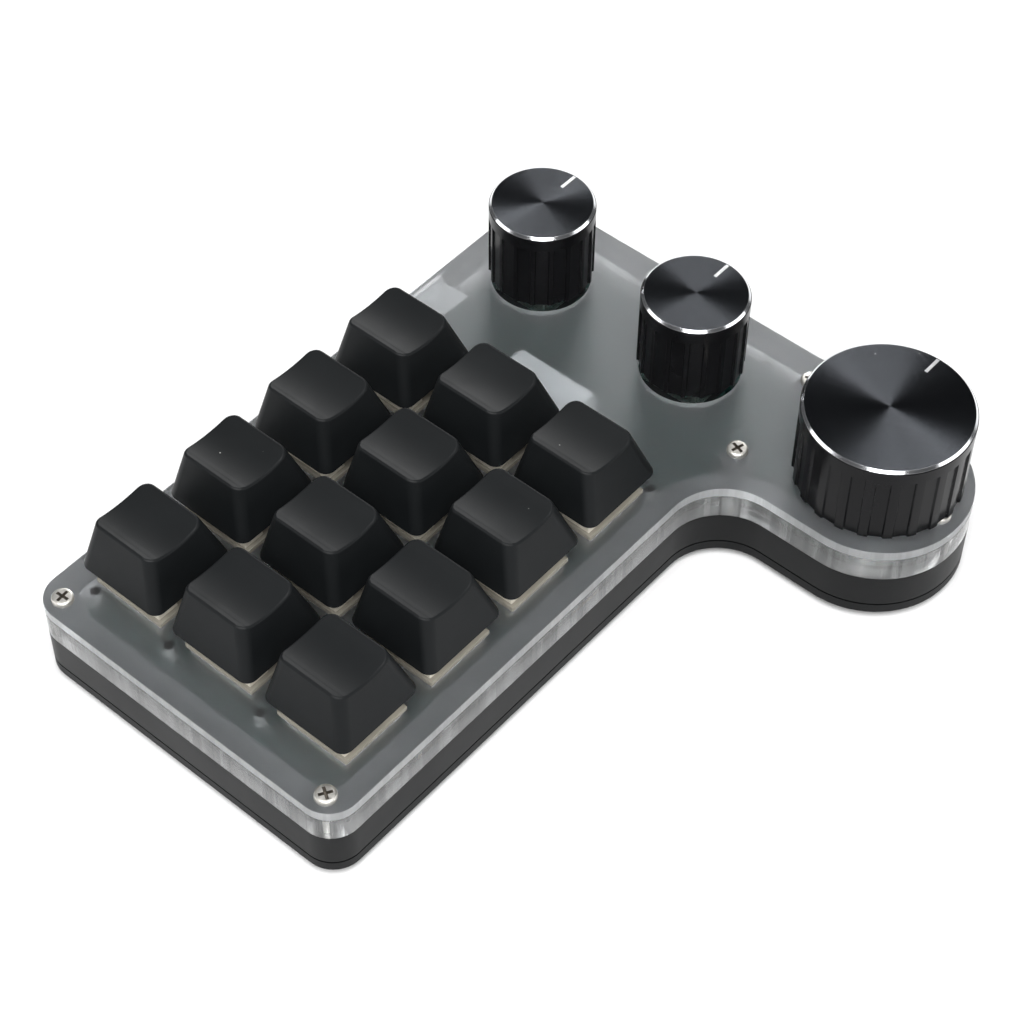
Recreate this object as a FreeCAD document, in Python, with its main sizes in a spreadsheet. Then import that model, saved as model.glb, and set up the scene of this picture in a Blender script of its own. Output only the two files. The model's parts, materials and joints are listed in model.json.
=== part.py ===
import FreeCAD, Part
import math
import os

import Sketcher
from FreeCAD import Placement, Rotation, Vector

# Desk keypad with twelve keys and three turning knobs. Millimetres.
# The origin is under the middle of the object, at the level its feet stand on.
# X runs to the user's right, Y away from the user, Z up.

doc = FreeCAD.newDocument("keypad")
sheet = doc.addObject("Spreadsheet::Sheet", "Sizes")


# Sizes

class Size:
    """A length that keeps both its value and the sheet formula it comes from."""

    def __init__(self, value, text):
        self.value = float(value)
        self.text = text

    def __add__(self, other):
        other = as_size(other)
        return Size(self.value + other.value, "(%s + %s)" % (self.text, other.text))

    def __sub__(self, other):
        other = as_size(other)
        return Size(self.value - other.value, "(%s - %s)" % (self.text, other.text))

    def __mul__(self, other):
        other = as_size(other)
        return Size(self.value * other.value, "(%s * %s)" % (self.text, other.text))

    def __truediv__(self, other):
        other = as_size(other)
        return Size(self.value / other.value, "(%s / %s)" % (self.text, other.text))

    def __neg__(self):
        return Size(-self.value, "(-1 * %s)" % self.text)

    def __radd__(self, other):
        return as_size(other) + self

    def __rsub__(self, other):
        return as_size(other) - self


def as_size(number):
    return number if isinstance(number, Size) else Size(number, repr(float(number)))


DRIVING = [
    ("base_width", 129.6, "whole width over the key field and the knob column"),
    ("base_depth", 107.2, "whole depth from the back edge to the front of the lobe"),
    ("key_field_depth", 68.2, "depth of the key field, measured from the back edge"),
    ("lobe_width", 33.3, "width of the lobe that carries the large knob"),
    ("lobe_round", 16.4, "radius of the lobe's front"),
    ("neck_round", 11.0, "inside radius between key field and lobe"),
    ("corner_round", 5.6, "radius of the other corners"),
    ("foot_height", 1.0, "clearance that the feet give under the cover"),
    ("cover_thick", 2.4, "bottom cover"),
    ("frame_thick", 7.0, "black frame"),
    ("spacer_thick", 5.0, "clear ring between frame and top plate"),
    ("plate_thick", 2.0, "top plate"),
    ("frame_wall", 3.0, "wall of the black frame"),
    ("spacer_wall", 4.6, "wall of the clear ring"),
    ("board_gap", 0.4, "gap between the clear ring and the circuit board"),
    ("board_thick", 1.6, "circuit board"),
    ("switch_depth", 5.0, "from the top face of the plate to the top of the board"),
    ("key_pitch_x", 20.0, "distance between key columns"),
    ("key_pitch_y", 20.6, "distance between key rows"),
    ("first_key_x", -47.9, "middle of the left key column"),
    ("first_key_y", -1.1, "middle of the front key row"),
    ("opening_x", 13.4, "switch opening in the plate"),
    ("opening_y", 14.0, "switch opening in the plate"),
    ("flange_x", 14.2, "switch flange that rests on the plate"),
    ("flange_y", 15.0, "switch flange that rests on the plate"),
    ("flange_thick", 1.0, "switch flange that rests on the plate"),
    ("housing_rise", 6.0, "top of the switch housing above the plate"),
    ("key_travel", 4.0, "travel of a key"),
    ("cap_base", 18.0, "keycap skirt"),
    ("cap_top_x", 12.2, "keycap top, side to side"),
    ("cap_top_y", 13.4, "keycap top, front to back"),
    ("cap_top_shift", 0.9, "keycap top set back from the middle of the skirt"),
    ("cap_height", 9.2, "keycap skirt to the rim of its top"),
    ("cap_lift", 5.2, "keycap skirt above the plate"),
    ("cap_dish", 0.9, "depth of the dish in the keycap"),
    ("cap_wall", 1.3, "wall of the keycap"),
    ("cap_corner", 1.3, "cut along the upright corners of the keycap"),
    ("cross_long", 4.1, "cross on the stem"),
    ("cross_arm", 1.3, "cross on the stem"),
    ("cross_play", 0.03, "play between cross and keycap socket"),
    ("knob_x", 48.1, "middle of the knob column"),
    ("back_knob_y", 38.5, "middle of the back knob"),
    ("mid_knob_y", 3.8, "middle of the middle knob"),
    ("front_knob_y", -36.9, "middle of the large knob"),
    ("small_knob_round", 9.8, "radius of the two small knobs"),
    ("large_knob_round", 15.0, "radius of the large knob"),
    ("knob_height", 16.6, "height of every knob"),
    ("knob_lift", 1.6, "underside of the knobs above the plate"),
    ("knob_travel", 0.5, "how far a knob presses down"),
    ("knob_opening", 9.2, "radius of the round openings under the knobs"),
    ("shaft_round", 3.0, "encoder shaft radius"),
    ("shaft_flat", 1.5, "distance from the axis to the flat of the shaft"),
    ("running_gap", 0.05, "radial play of the shaft"),
    ("bushing_round", 3.5, "outside radius of the encoder bushing"),
    ("insert_round", 5.2, "radius of the insert in each knob"),
    ("screw_inset_x", 3.5, "corner screws in from the sides"),
    ("screw_inset_y", 4.5, "corner screws in from front and back"),
    ("neck_screw_gap", 10.8, "neck screws to each side of the knob column"),
    ("neck_screw_y", -15.0, "neck screws"),
    ("lobe_screw_y", -49.9, "screw at the front of the lobe"),
    ("boss_round", 3.0, "radius of the screw bosses"),
    ("thread_round", 1.0, "radius of the screw shanks"),
    ("head_round", 1.9, "radius of the screw heads"),
]

for row, (name, value, note) in enumerate(DRIVING, start=1):
    sheet.set("A%d" % row, note)
    sheet.set("B%d" % row, str(value))
    sheet.setAlias("B%d" % row, name)
doc.recompute()

SIZES = {name: Size(value, "Sizes." + name) for name, value, note in DRIVING}


def size(name):
    return SIZES[name]


HALF_WIDTH = size("base_width") / 2
HALF_DEPTH = size("base_depth") / 2
FIELD_FRONT = HALF_DEPTH - size("key_field_depth")
NECK_X = HALF_WIDTH - size("lobe_width")

COVER_Z = size("foot_height")
FRAME_Z = COVER_Z + size("cover_thick")
SPACER_Z = FRAME_Z + size("frame_thick")
PLATE_Z = SPACER_Z + size("spacer_thick")
TOP_Z = PLATE_Z + size("plate_thick")
BOARD_TOP_Z = TOP_Z - size("switch_depth")
BOARD_Z = BOARD_TOP_Z - size("board_thick")
KNOB_Z = TOP_Z + size("knob_lift")
ZERO = as_size(0)

COLUMNS = 4
ROWS = 3
KNOBS = [("back", "back_knob_y", "small_knob_round"),
         ("middle", "mid_knob_y", "small_knob_round"),
         ("front", "front_knob_y", "large_knob_round")]

# Places of the parts that no driving size sets, and the socket and module

FOOT_PLACES = [(-55.0, 43.5), (-55.0, -4.5), (24.0, -4.5), (54.0, 43.5), (48.1, -40.0)]
STANDOFF_PLACES = [(-37.9, 45.8), (-37.9, -7.2), (2.1, 45.8), (2.1, -7.2), (48.1, 21.0), (48.1, -16.5)]
POST_PLACES = [(-56.0, 47.2), (-56.0, 29.9), (-56.0, 9.3), (21.6, -8.4)]
SOCKET_X, SOCKET_Y = 32.6, 49.7
SOCKET_WIDE, SOCKET_DEEP, SOCKET_TALL, SOCKET_SKIN = 8.9, 7.3, 3.2, 0.35
MODULE_X, MODULE_Y = 26.9, 21.4
MODULE_WIDE, MODULE_DEEP, MODULE_THICK = 12.0, 18.0, 0.8

# Screws and feet

FOOT_REACH = 4.0
HEAD_TALL = 0.95
SCREW_SEAT_DEEP = 1.3
TOP_SHANK, BOTTOM_SHANK = 9.5, 4.6

# Room inside a switch, and the level of the socket in a keycap

SWITCH_ROOM_X, SWITCH_ROOM_Y, SWITCH_FLOOR = 9.6, 9.0, 0.8
SOCKET_FLOOR = size("housing_rise") + 0.5 - size("cap_lift")

# Encoders, measured from the top of the board

ENCODER_WIDE = as_size(11.8)
ENCODER_FLOOR = as_size(0.6)
ENCODER_BASE_TALL = as_size(2.2)
ENCODER_COVER_TALL = as_size(3.4)
BUSHING_TALL = as_size(4.6)
SHAFT_TOP = as_size(20.6)
SHAFT_FLAT_LOW = as_size(11.2)

# Knobs, measured from their underside

KNOB_ON_BOARD = KNOB_Z - BOARD_TOP_Z
KNOB_RECESS_DEEP = as_size(4.8)
KNOB_FACE_THICK = as_size(2.2)
GRUB_HEIGHT = as_size(8.4)
GRUB_REACH = as_size(1.5)

# Number of sides of the small rounds that repeat

FOOT_SIDES = BOSS_SIDES = HEAD_SIDES = BUSHING_SIDES = INSERT_SIDES = RECESS_SIDES = 12
SHANK_SIDES = GRUB_SIDES = 8


def screw_places():
    """Middle of each case screw, as pairs of sizes."""
    side = HALF_WIDTH - size("screw_inset_x")
    back = HALF_DEPTH - size("screw_inset_y")
    front = FIELD_FRONT + size("screw_inset_y")
    left_neck = size("knob_x") - size("neck_screw_gap")
    right_neck = size("knob_x") + size("neck_screw_gap")
    return [(-side, back), (-side, front), (side, back),
            (left_neck, size("neck_screw_y")), (right_neck, size("neck_screw_y")),
            (size("knob_x"), size("lobe_screw_y"))]


def key_place(column, row):
    x = size("first_key_x") + size("key_pitch_x") * column
    y = size("first_key_y") + size("key_pitch_y") * row
    return x, y


# Sketches and features

def new_body(label):
    body = doc.addObject("PartDesign::Body", label)
    body.Label = label
    return body


def new_sketch(body, name, height=ZERO, plane="XY_Plane"):
    """A sketch on one of the body's own origin planes, raised by height."""
    sketch = body.newObject("Sketcher::SketchObject", name)
    base = [item for item in body.Origin.OriginFeatures if item.Role == plane][0]
    sketch.AttachmentSupport = [(base, "")]
    sketch.MapMode = "FlatFace"
    sketch.setExpression("AttachmentOffset.Base.z", height.text)
    return sketch


def dimension(sketch, kind, element, point, length):
    """Ties one point's distance from the sketch origin to a size."""
    if abs(length.value) < 1e-9:
        axis = -2 if kind == "DistanceX" else -1
        sketch.addConstraint(Sketcher.Constraint("PointOnObject", element, point, axis))
        return
    index = sketch.addConstraint(Sketcher.Constraint(kind, -1, 1, element, point, length.value))
    sketch.setExpression("Constraints[%d]" % index, length.text)


def radius(sketch, element, length):
    index = sketch.addConstraint(Sketcher.Constraint("Radius", element, length.value))
    sketch.setExpression("Constraints[%d]" % index, length.text)


def circle(sketch, x, y, round_size):
    x, y, round_size = as_size(x), as_size(y), as_size(round_size)
    centre = Vector(x.value, y.value, 0)
    element = sketch.addGeometry(Part.Circle(centre, Vector(0, 0, 1), round_size.value))
    radius(sketch, element, round_size)
    dimension(sketch, "DistanceX", element, 3, x)
    dimension(sketch, "DistanceY", element, 3, y)


def many_sided(sketch, x, y, reach, sides):
    """Regular loop around x, y. reach is to its corners. It stands for small rounds that repeat."""
    turns = [2 * math.pi * (step + 0.5) / sides for step in range(sides)]
    polygon(sketch, [(x + reach * math.cos(turn), y + reach * math.sin(turn)) for turn in turns])


def polygon(sketch, points):
    """Straight sided loop with every corner tied to sizes."""
    points = [(as_size(x), as_size(y)) for x, y in points]
    spots = [Vector(x.value, y.value, 0) for x, y in points]
    count = len(points)
    lines = [sketch.addGeometry(Part.LineSegment(spots[i], spots[(i + 1) % count])) for i in range(count)]
    for i in range(count):
        after = lines[(i + 1) % count]
        sketch.addConstraint(Sketcher.Constraint("Coincident", lines[i], 2, after, 1))
    for line, (x, y) in zip(lines, points):
        dimension(sketch, "DistanceX", line, 1, x)
        dimension(sketch, "DistanceY", line, 1, y)


def rounded(sketch, corners, rounds):
    """Loop of level and upright sides. Each corner has its own radius."""
    corners = [(as_size(x), as_size(y)) for x, y in corners]
    rounds = [as_size(item) for item in rounds]
    spots = [Vector(x.value, y.value, 0) for x, y in corners]
    count = len(spots)
    ways = [(spots[(i + 1) % count] - spots[i]).normalize() for i in range(count)]
    starts = [spots[i] + ways[i] * rounds[i].value for i in range(count)]
    ends = [spots[(i + 1) % count] - ways[i] * rounds[(i + 1) % count].value for i in range(count)]
    lines = [sketch.addGeometry(Part.LineSegment(a, b)) for a, b in zip(starts, ends)]
    for i in range(count):
        arrive, leave = ways[i - 1], ways[i]
        turn = arrive.cross(leave).z
        reach = rounds[i].value
        centre = spots[i] - arrive * reach + leave * reach
        first, last = (ends[i - 1], starts[i]) if turn > 0 else (starts[i], ends[i - 1])
        begin = math.atan2((first - centre).y, (first - centre).x)
        finish = math.atan2((last - centre).y, (last - centre).x)
        if finish < begin:
            finish += 2 * math.pi
        arc = Part.ArcOfCircle(Part.Circle(centre, Vector(0, 0, 1), reach), begin, finish)
        element = sketch.addGeometry(arc)
        near, far = (1, 2) if turn > 0 else (2, 1)
        sketch.addConstraint(Sketcher.Constraint("Tangent", lines[i - 1], 2, element, near))
        sketch.addConstraint(Sketcher.Constraint("Tangent", element, far, lines[i], 1))
        radius(sketch, element, rounds[i])
    for i in range(count):
        level = abs(ways[i].y) < abs(ways[i].x)
        sketch.addConstraint(Sketcher.Constraint("Horizontal" if level else "Vertical", lines[i]))
        kind = "DistanceY" if level else "DistanceX"
        dimension(sketch, kind, lines[i], 1, corners[i][1] if level else corners[i][0])


def rectangle(sketch, x, y, wide, deep, corner=None):
    """Rectangle centred on x, y, with rounded corners where a radius is given."""
    wide, deep = as_size(wide) / 2, as_size(deep) / 2
    x, y = as_size(x), as_size(y)
    corners = [(x - wide, y - deep), (x + wide, y - deep), (x + wide, y + deep), (x - wide, y + deep)]
    if corner is None:
        polygon(sketch, corners)
    else:
        rounded(sketch, corners, [corner] * 4)


def extrude(body, kind, sketch, length, downwards=False, through=False, both=False):
    """A pad or pocket, checked against the volume it has to change."""
    before = body.Tip.Shape.Volume if body.Tip and not body.Tip.Shape.isNull() else 0.0
    feature = body.newObject("PartDesign::" + kind, sketch.Name + kind)
    feature.Profile = sketch
    if through:
        feature.Type = "ThroughAll"
    else:
        feature.setExpression("Length", as_size(length).text)
    feature.Midplane = both
    feature.Reversed = downwards if kind == "Pad" else not downwards
    doc.recompute()
    after = feature.Shape.Volume
    if (kind == "Pad" and after <= before) or (kind == "Pocket" and after >= before):
        raise RuntimeError("%s of %s changes nothing" % (kind, body.Label))
    return feature


def pad(body, sketch, length, **options):
    return extrude(body, "Pad", sketch, length, **options)


def pocket(body, sketch, length=0, **options):
    return extrude(body, "Pocket", sketch, length, **options)


def revolve(body, sketch):
    """Full turn of a profile about the upright axis of its sketch."""
    feature = body.newObject("PartDesign::Revolution", sketch.Name + "Turn")
    feature.Profile = sketch
    feature.ReferenceAxis = (sketch, ["V_Axis"])
    feature.Angle = 360.0
    doc.recompute()
    return feature


def wedge(body, kind, name, low, high, foot, top, shift=0):
    """Block with sloping sides between two heights. foot and top are its sizes along X and Y.

    The top is moved by shift along Y. The feature's own Y axis stands upright here.
    """
    feature = body.newObject("PartDesign::%sWedge" % kind, name)
    base = [item for item in body.Origin.OriginFeatures if item.Role == "XY_Plane"][0]
    feature.AttachmentSupport = [(base, "")]
    feature.MapMode = "FlatFace"
    feature.AttachmentOffset = Placement(Vector(), Rotation(Vector(1, 0, 0), 90))
    foot_x, foot_y = as_size(foot[0]) / 2, as_size(foot[1]) / 2
    top_x, top_y = as_size(top[0]) / 2, as_size(top[1]) / 2
    back = -as_size(shift)
    limits = {"Xmin": -foot_x, "Xmax": foot_x, "Zmin": -foot_y, "Zmax": foot_y,
              "X2min": -top_x, "X2max": top_x, "Z2min": back - top_y, "Z2max": back + top_y,
              "Ymin": as_size(low), "Ymax": as_size(high)}
    for name, limit in limits.items():
        feature.setExpression(name, limit.text)
    doc.recompute()
    return feature


def polar(body, feature, count):
    """Repeats a feature around the upright axis of the body."""
    pattern = body.newObject("PartDesign::PolarPattern", feature.Name + "Around")
    pattern.Originals = [feature]
    axis = [item for item in body.Origin.OriginFeatures if item.Role == "Z_Axis"][0]
    pattern.Axis = (axis, [""])
    pattern.Angle = 360.0
    pattern.Occurrences = count
    body.Tip = pattern
    doc.recompute()
    return pattern


def chamfer_at(body, height, length):
    """Chamfers the edges of the tip that lie level at a height."""
    before, names = body.Tip, []
    for number, edge in enumerate(before.Shape.Edges, start=1):
        box = edge.BoundBox
        if abs(box.ZMin - height.value) < 1e-6 and abs(box.ZMax - height.value) < 1e-6:
            names.append("Edge%d" % number)
    feature = body.newObject("PartDesign::Chamfer", body.Label + "Chamfer")
    feature.Base = (before, names)
    feature.Size = length
    doc.recompute()
    return feature


def cut_corners(body, length):
    """Chamfers the edges of the tip that rise from its foot to its top."""
    before = body.Tip
    rise = before.Shape.BoundBox.ZLength / 2
    names = ["Edge%d" % number for number, edge in enumerate(before.Shape.Edges, start=1)
             if edge.BoundBox.ZLength > rise]
    feature = body.newObject("PartDesign::Chamfer", body.Label + "Corners")
    feature.Base = (before, names)
    feature.setExpression("Size", length.text)
    doc.recompute()
    return feature


def place(item, x=0, y=0, z=0):
    """Ties a sub-part's place to sizes."""
    for letter, amount in zip("xyz", (x, y, z)):
        item.setExpression(".Placement.Base." + letter, as_size(amount).text)


def copies(label, master, places):
    """Identical pieces that share one node, as separate solids."""
    group = doc.addObject("Part::Feature", label)
    group.Label = label
    solids = []
    for spot in places:
        solid = master.Shape.copy()
        solid.Placement = spot.multiply(solid.Placement)
        solids.append(solid)
    group.Shape = Part.makeCompound(solids)
    return group


def single(label, master, x, y, z=0):
    """One more piece of a master's shape, as its own node."""
    body = doc.addObject("PartDesign::Body", label)
    body.Label = label
    body.BaseFeature = master
    place(body, x, y, z)
    return body


def spots(places, z=0.0):
    return [Placement(Vector(as_size(x).value, as_size(y).value, as_size(z).value), Rotation())
            for x, y in places]


def key_spots(z=ZERO):
    return spots([key_place(c, r) for r in range(ROWS) for c in range(COLUMNS)], z)


# Stacked case

def base_outline(sketch, inset):
    """Outline of the base with its lobe, moved inwards by inset."""
    inset = as_size(inset)
    left, right = inset - HALF_WIDTH, HALF_WIDTH - inset
    back, field_front = HALF_DEPTH - inset, FIELD_FRONT + inset
    neck, lobe_front = NECK_X + inset, inset - HALF_DEPTH
    outer = size("corner_round") - inset
    if outer.value < 1.0:
        outer = as_size(1.0)
    lobe = size("lobe_round") - inset
    corners = [(left, back), (left, field_front), (neck, field_front),
               (neck, lobe_front), (right, lobe_front), (right, back)]
    rounded(sketch, corners, [outer, outer, size("neck_round") + inset, lobe, lobe, outer])


def at_screws(sketch, reach, sides):
    for x, y in screw_places():
        many_sided(sketch, x, y, reach, sides)


def boss_webs(sketch, grow=0.0):
    """Webs that tie the two neck bosses to the wall beside them."""
    left, right = size("knob_x") - size("neck_screw_gap"), size("knob_x") + size("neck_screw_gap")
    y = size("neck_screw_y")
    polygon(sketch, [(left - 1.2 + grow, y + 1.9 + grow), (left - 6.8 - grow, y - 1.5 + grow),
                     (left - 4.3 - grow, y - 5.4 - grow), (left + 1.2 + grow, y - 1.9 - grow)])
    rectangle(sketch, right + 2.0, y, 4.0 + grow, 4.0 + grow * 2)


def make_bottom_cover():
    body = new_body("bottom_cover")
    sketch = new_sketch(body, "CoverOutline", COVER_Z)
    base_outline(sketch, 0)
    pad(body, sketch, size("cover_thick"))
    chamfer_at(body, COVER_Z, 0.5)
    heads = new_sketch(body, "CoverScrewSeats", COVER_Z)
    at_screws(heads, size("head_round") + 0.2, HEAD_SIDES)
    pocket(body, heads, SCREW_SEAT_DEEP, downwards=False)
    holes = new_sketch(body, "CoverScrewHoles", COVER_Z)
    at_screws(holes, size("thread_round") + 0.2, SHANK_SIDES)
    pocket(body, holes, through=True, downwards=False)
    return body


def make_case_frame():
    body = new_body("case_frame")
    sketch = new_sketch(body, "FrameOutline", FRAME_Z)
    base_outline(sketch, 0)
    pad(body, sketch, size("frame_thick"))
    well = new_sketch(body, "FrameWell", FRAME_Z)
    base_outline(well, size("frame_wall"))
    pocket(body, well, through=True, downwards=False)
    bosses = new_sketch(body, "FrameBosses", FRAME_Z)
    at_screws(bosses, size("boss_round"), BOSS_SIDES)
    pad(body, bosses, size("frame_thick"))
    webs = new_sketch(body, "FrameWebs", FRAME_Z)
    boss_webs(webs)
    pad(body, webs, size("frame_thick"))
    holes = new_sketch(body, "FrameScrewHoles", FRAME_Z)
    at_screws(holes, size("thread_round"), SHANK_SIDES)
    pocket(body, holes, through=True, downwards=False)
    return body


def make_clear_spacer():
    body = new_body("clear_spacer")
    sketch = new_sketch(body, "SpacerOutline", SPACER_Z)
    base_outline(sketch, 0)
    pad(body, sketch, size("spacer_thick"))
    well = new_sketch(body, "SpacerWell", SPACER_Z)
    base_outline(well, size("spacer_wall"))
    pocket(body, well, through=True, downwards=False)
    bosses = new_sketch(body, "SpacerBosses", SPACER_Z)
    at_screws(bosses, size("boss_round"), BOSS_SIDES)
    pad(body, bosses, size("spacer_thick"))
    webs = new_sketch(body, "SpacerWebs", SPACER_Z)
    boss_webs(webs)
    pad(body, webs, size("spacer_thick"))
    holes = new_sketch(body, "SpacerScrewHoles", SPACER_Z)
    at_screws(holes, size("thread_round") + 0.15, SHANK_SIDES)
    pocket(body, holes, through=True, downwards=False)
    notch = new_sketch(body, "SpacerSocketNotch", SPACER_Z)
    rectangle(notch, SOCKET_X, HALF_DEPTH, SOCKET_WIDE + 0.4, size("spacer_wall") * 2 + 0.4)
    pocket(body, notch, through=True, downwards=False)
    return body


def make_top_plate():
    body = new_body("top_plate")
    sketch = new_sketch(body, "PlateOutline", PLATE_Z)
    base_outline(sketch, 0)
    pad(body, sketch, size("plate_thick"))
    keys = new_sketch(body, "PlateKeyOpenings", PLATE_Z)
    for row in range(ROWS):
        for column in range(COLUMNS):
            x, y = key_place(column, row)
            rectangle(keys, x, y, size("opening_x"), size("opening_y"))
    pocket(body, keys, through=True, downwards=False)
    rounds = new_sketch(body, "PlateRoundOpenings", PLATE_Z)
    for name, y, knob_round in KNOBS:
        circle(rounds, size("knob_x"), size(y), size("knob_opening"))
    at_screws(rounds, size("thread_round") + 0.15, SHANK_SIDES)
    pocket(body, rounds, through=True, downwards=False)
    return body


def make_circuit_board():
    body = new_body("circuit_board")
    sketch = new_sketch(body, "BoardOutline", BOARD_Z)
    base_outline(sketch, size("spacer_wall") + size("board_gap"))
    pad(body, sketch, size("board_thick"))
    holes = new_sketch(body, "BoardHoles", BOARD_Z)
    at_screws(holes, size("boss_round") + size("board_gap"), BOSS_SIDES)
    pocket(body, holes, through=True, downwards=False)
    webs = new_sketch(body, "BoardWebRoom", BOARD_Z)
    boss_webs(webs, size("board_gap").value)
    pocket(body, webs, through=True, downwards=False)
    notch = new_sketch(body, "BoardSocketNotch", BOARD_Z)
    rectangle(notch, SOCKET_X, SOCKET_Y, SOCKET_WIDE + 0.2, SOCKET_DEEP + 0.2)
    pocket(body, notch, through=True, downwards=False)
    return body


def prism(name, sides, reach, height):
    """Upright prism whose corners lie at reach from its axis."""
    item = doc.addObject("Part::Prism", name)
    item.Polygon = sides
    item.Circumradius = reach
    item.setExpression("Height", height.text)
    doc.recompute()
    return item


def make_board_standoffs():
    """Hexagonal pillars that carry the board inside the frame."""
    pillar = prism("StandoffHexagon", 6, 2.3, BOARD_Z - FRAME_Z)
    return copies("board_standoffs", pillar, spots(STANDOFF_PLACES, FRAME_Z))


def make_board_spacers():
    """White posts between board and plate, seen blurred through the plate."""
    post = prism("SpacerPost", 8, 1.0, PLATE_Z - BOARD_TOP_Z)
    return copies("board_spacers", post, spots(POST_PLACES, BOARD_TOP_Z))


def make_rubber_feet():
    foot = prism("FootPad", FOOT_SIDES, FOOT_REACH, size("foot_height"))
    return copies("rubber_feet", foot, spots(FOOT_PLACES))


def screw_master(label, shank):
    """Pan head screw with a cross recess. Its seat is at height 0. Head and shank have plain sides."""
    body = new_body(label)
    disc = new_sketch(body, label + "Head")
    many_sided(disc, 0, 0, size("head_round"), HEAD_SIDES)
    pad(body, disc, HEAD_TALL)
    rod = new_sketch(body, label + "Shank")
    many_sided(rod, 0, 0, size("thread_round") - 0.02, SHANK_SIDES)
    pad(body, rod, shank, downwards=True)
    cross = new_sketch(body, label + "Cross", as_size(HEAD_TALL))
    polygon(cross, cross_corners(as_size(1.0), as_size(0.22)))
    pocket(body, cross, 0.6, downwards=True)
    return body


def make_screws():
    top = screw_master("TopScrewMaster", TOP_SHANK)
    top_screws = copies("top_screws", top, spots(screw_places(), TOP_Z))
    below = screw_master("BottomScrewMaster", BOTTOM_SHANK)
    turned = Rotation(Vector(1, 0, 0), 180)
    seat = (COVER_Z + SCREW_SEAT_DEEP).value
    places = [Placement(Vector(x.value, y.value, seat), turned) for x, y in screw_places()]
    return [top_screws, copies("bottom_screws", below, places)]


def make_usb_socket():
    """Metal shell open to the back, with its contact tongue."""
    body = new_body("usb_socket")
    middle_z = BOARD_TOP_Z + 1.1
    back = SOCKET_Y + SOCKET_DEEP / 2
    shell = new_sketch(body, "SocketShell", -as_size(back), "XZ_Plane")
    rectangle(shell, SOCKET_X, middle_z, SOCKET_WIDE, SOCKET_TALL, 1.5)
    pad(body, shell, SOCKET_DEEP, downwards=False)
    mouth = new_sketch(body, "SocketMouth", -as_size(back), "XZ_Plane")
    both_skins = SOCKET_SKIN * 2
    rectangle(mouth, SOCKET_X, middle_z, SOCKET_WIDE - both_skins, SOCKET_TALL - both_skins, 1.15)
    pocket(body, mouth, SOCKET_DEEP - 1.2, downwards=False)
    tongue = new_sketch(body, "SocketTongue", -as_size(back - SOCKET_DEEP + 1.0), "XZ_Plane")
    rectangle(tongue, SOCKET_X, middle_z, 6.7, 0.7)
    pad(body, tongue, 5.4, downwards=True)
    return body


def make_controller_module():
    """Small board with a pale metal can, next to the key field."""
    body = new_body("controller_module")
    board = new_sketch(body, "ModuleBoard", BOARD_TOP_Z)
    rectangle(board, MODULE_X, MODULE_Y, MODULE_WIDE, MODULE_DEEP)
    pad(body, board, MODULE_THICK)
    can = new_sketch(body, "ModuleCan", BOARD_TOP_Z + MODULE_THICK)
    rectangle(can, MODULE_X, MODULE_Y - 2.0, 10.6, 12.4)
    pad(body, can, 1.8)
    return body


def make_diodes():
    """Surface diode beside each switch, on the underside of the board."""
    body = new_body("DiodeMaster")
    case = new_sketch(body, "DiodeCase")
    rectangle(case, 0, 0, 2.7, 1.6)
    pad(body, case, 1.1, downwards=True)
    places = [key_place(c, r) for r in range(ROWS) for c in range(COLUMNS)]
    beside = [(x, y - 7.6) for x, y in places]
    return copies("diodes", body, spots(beside, BOARD_Z))


# Key switches. Height 0 is the top face of the plate.

def make_switch_base():
    """Lower half of a switch: a tapered tub that hangs in the plate by its flange."""
    body = new_body("SwitchBaseMaster")
    depth, flange_thick = size("switch_depth"), size("flange_thick")
    wide, deep = size("opening_x") - 0.2, size("opening_y") - 0.2
    wedge(body, "Additive", "BaseFoot", -depth, 1.2 - depth, (wide - 1.4, deep - 1.4), (wide, deep))
    tub = new_sketch(body, "BaseTub", 1.2 - depth)
    rectangle(tub, 0, 0, wide, deep)
    pad(body, tub, depth - 1.2)
    flange = new_sketch(body, "BaseFlange")
    rectangle(flange, 0, 0, size("flange_x"), size("flange_y"))
    pad(body, flange, flange_thick)
    inside = new_sketch(body, "BaseInside", flange_thick)
    rectangle(inside, 0, 0, SWITCH_ROOM_X, SWITCH_ROOM_Y)
    pocket(body, inside, flange_thick + depth - SWITCH_FLOOR, downwards=True)
    post = new_sketch(body, "BaseSpringPost", SWITCH_FLOOR - depth)
    rectangle(post, 0, 0, 2.0, 2.0)
    pad(body, post, 2.0)
    return body


def make_switch_top():
    """Upper half of a switch: a sloping cover with a window for the stem and a lamp slot."""
    body = new_body("SwitchTopMaster")
    low, high = size("flange_thick"), size("housing_rise")
    wedge(body, "Additive", "HousingCover", low, high,
          (size("flange_x") - 0.9, size("flange_y") - 1.4), (10.4, 10.8), 0.2)
    window = new_sketch(body, "HousingWindow", high)
    rectangle(window, 0, 0, 7.5, 6.4)
    pocket(body, window, high - low, downwards=True)
    hollow = new_sketch(body, "HousingHollow", low)
    rectangle(hollow, 0, 0, SWITCH_ROOM_X, SWITCH_ROOM_Y)
    pocket(body, hollow, 3.2, downwards=False)
    lamp = new_sketch(body, "HousingLampSlot", low)
    rectangle(lamp, 0, -6.1, 4.6, 2.2)
    pocket(body, lamp, 4.2, downwards=False)
    return body


def cross_corners(long, arm):
    """Corners of a plus shape with arms of a length and a thickness."""
    return [(-long, -arm), (-arm, -arm), (-arm, -long), (arm, -long), (arm, -arm), (long, -arm),
            (long, arm), (arm, arm), (arm, long), (-arm, long), (-arm, arm), (-long, arm)]


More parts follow.
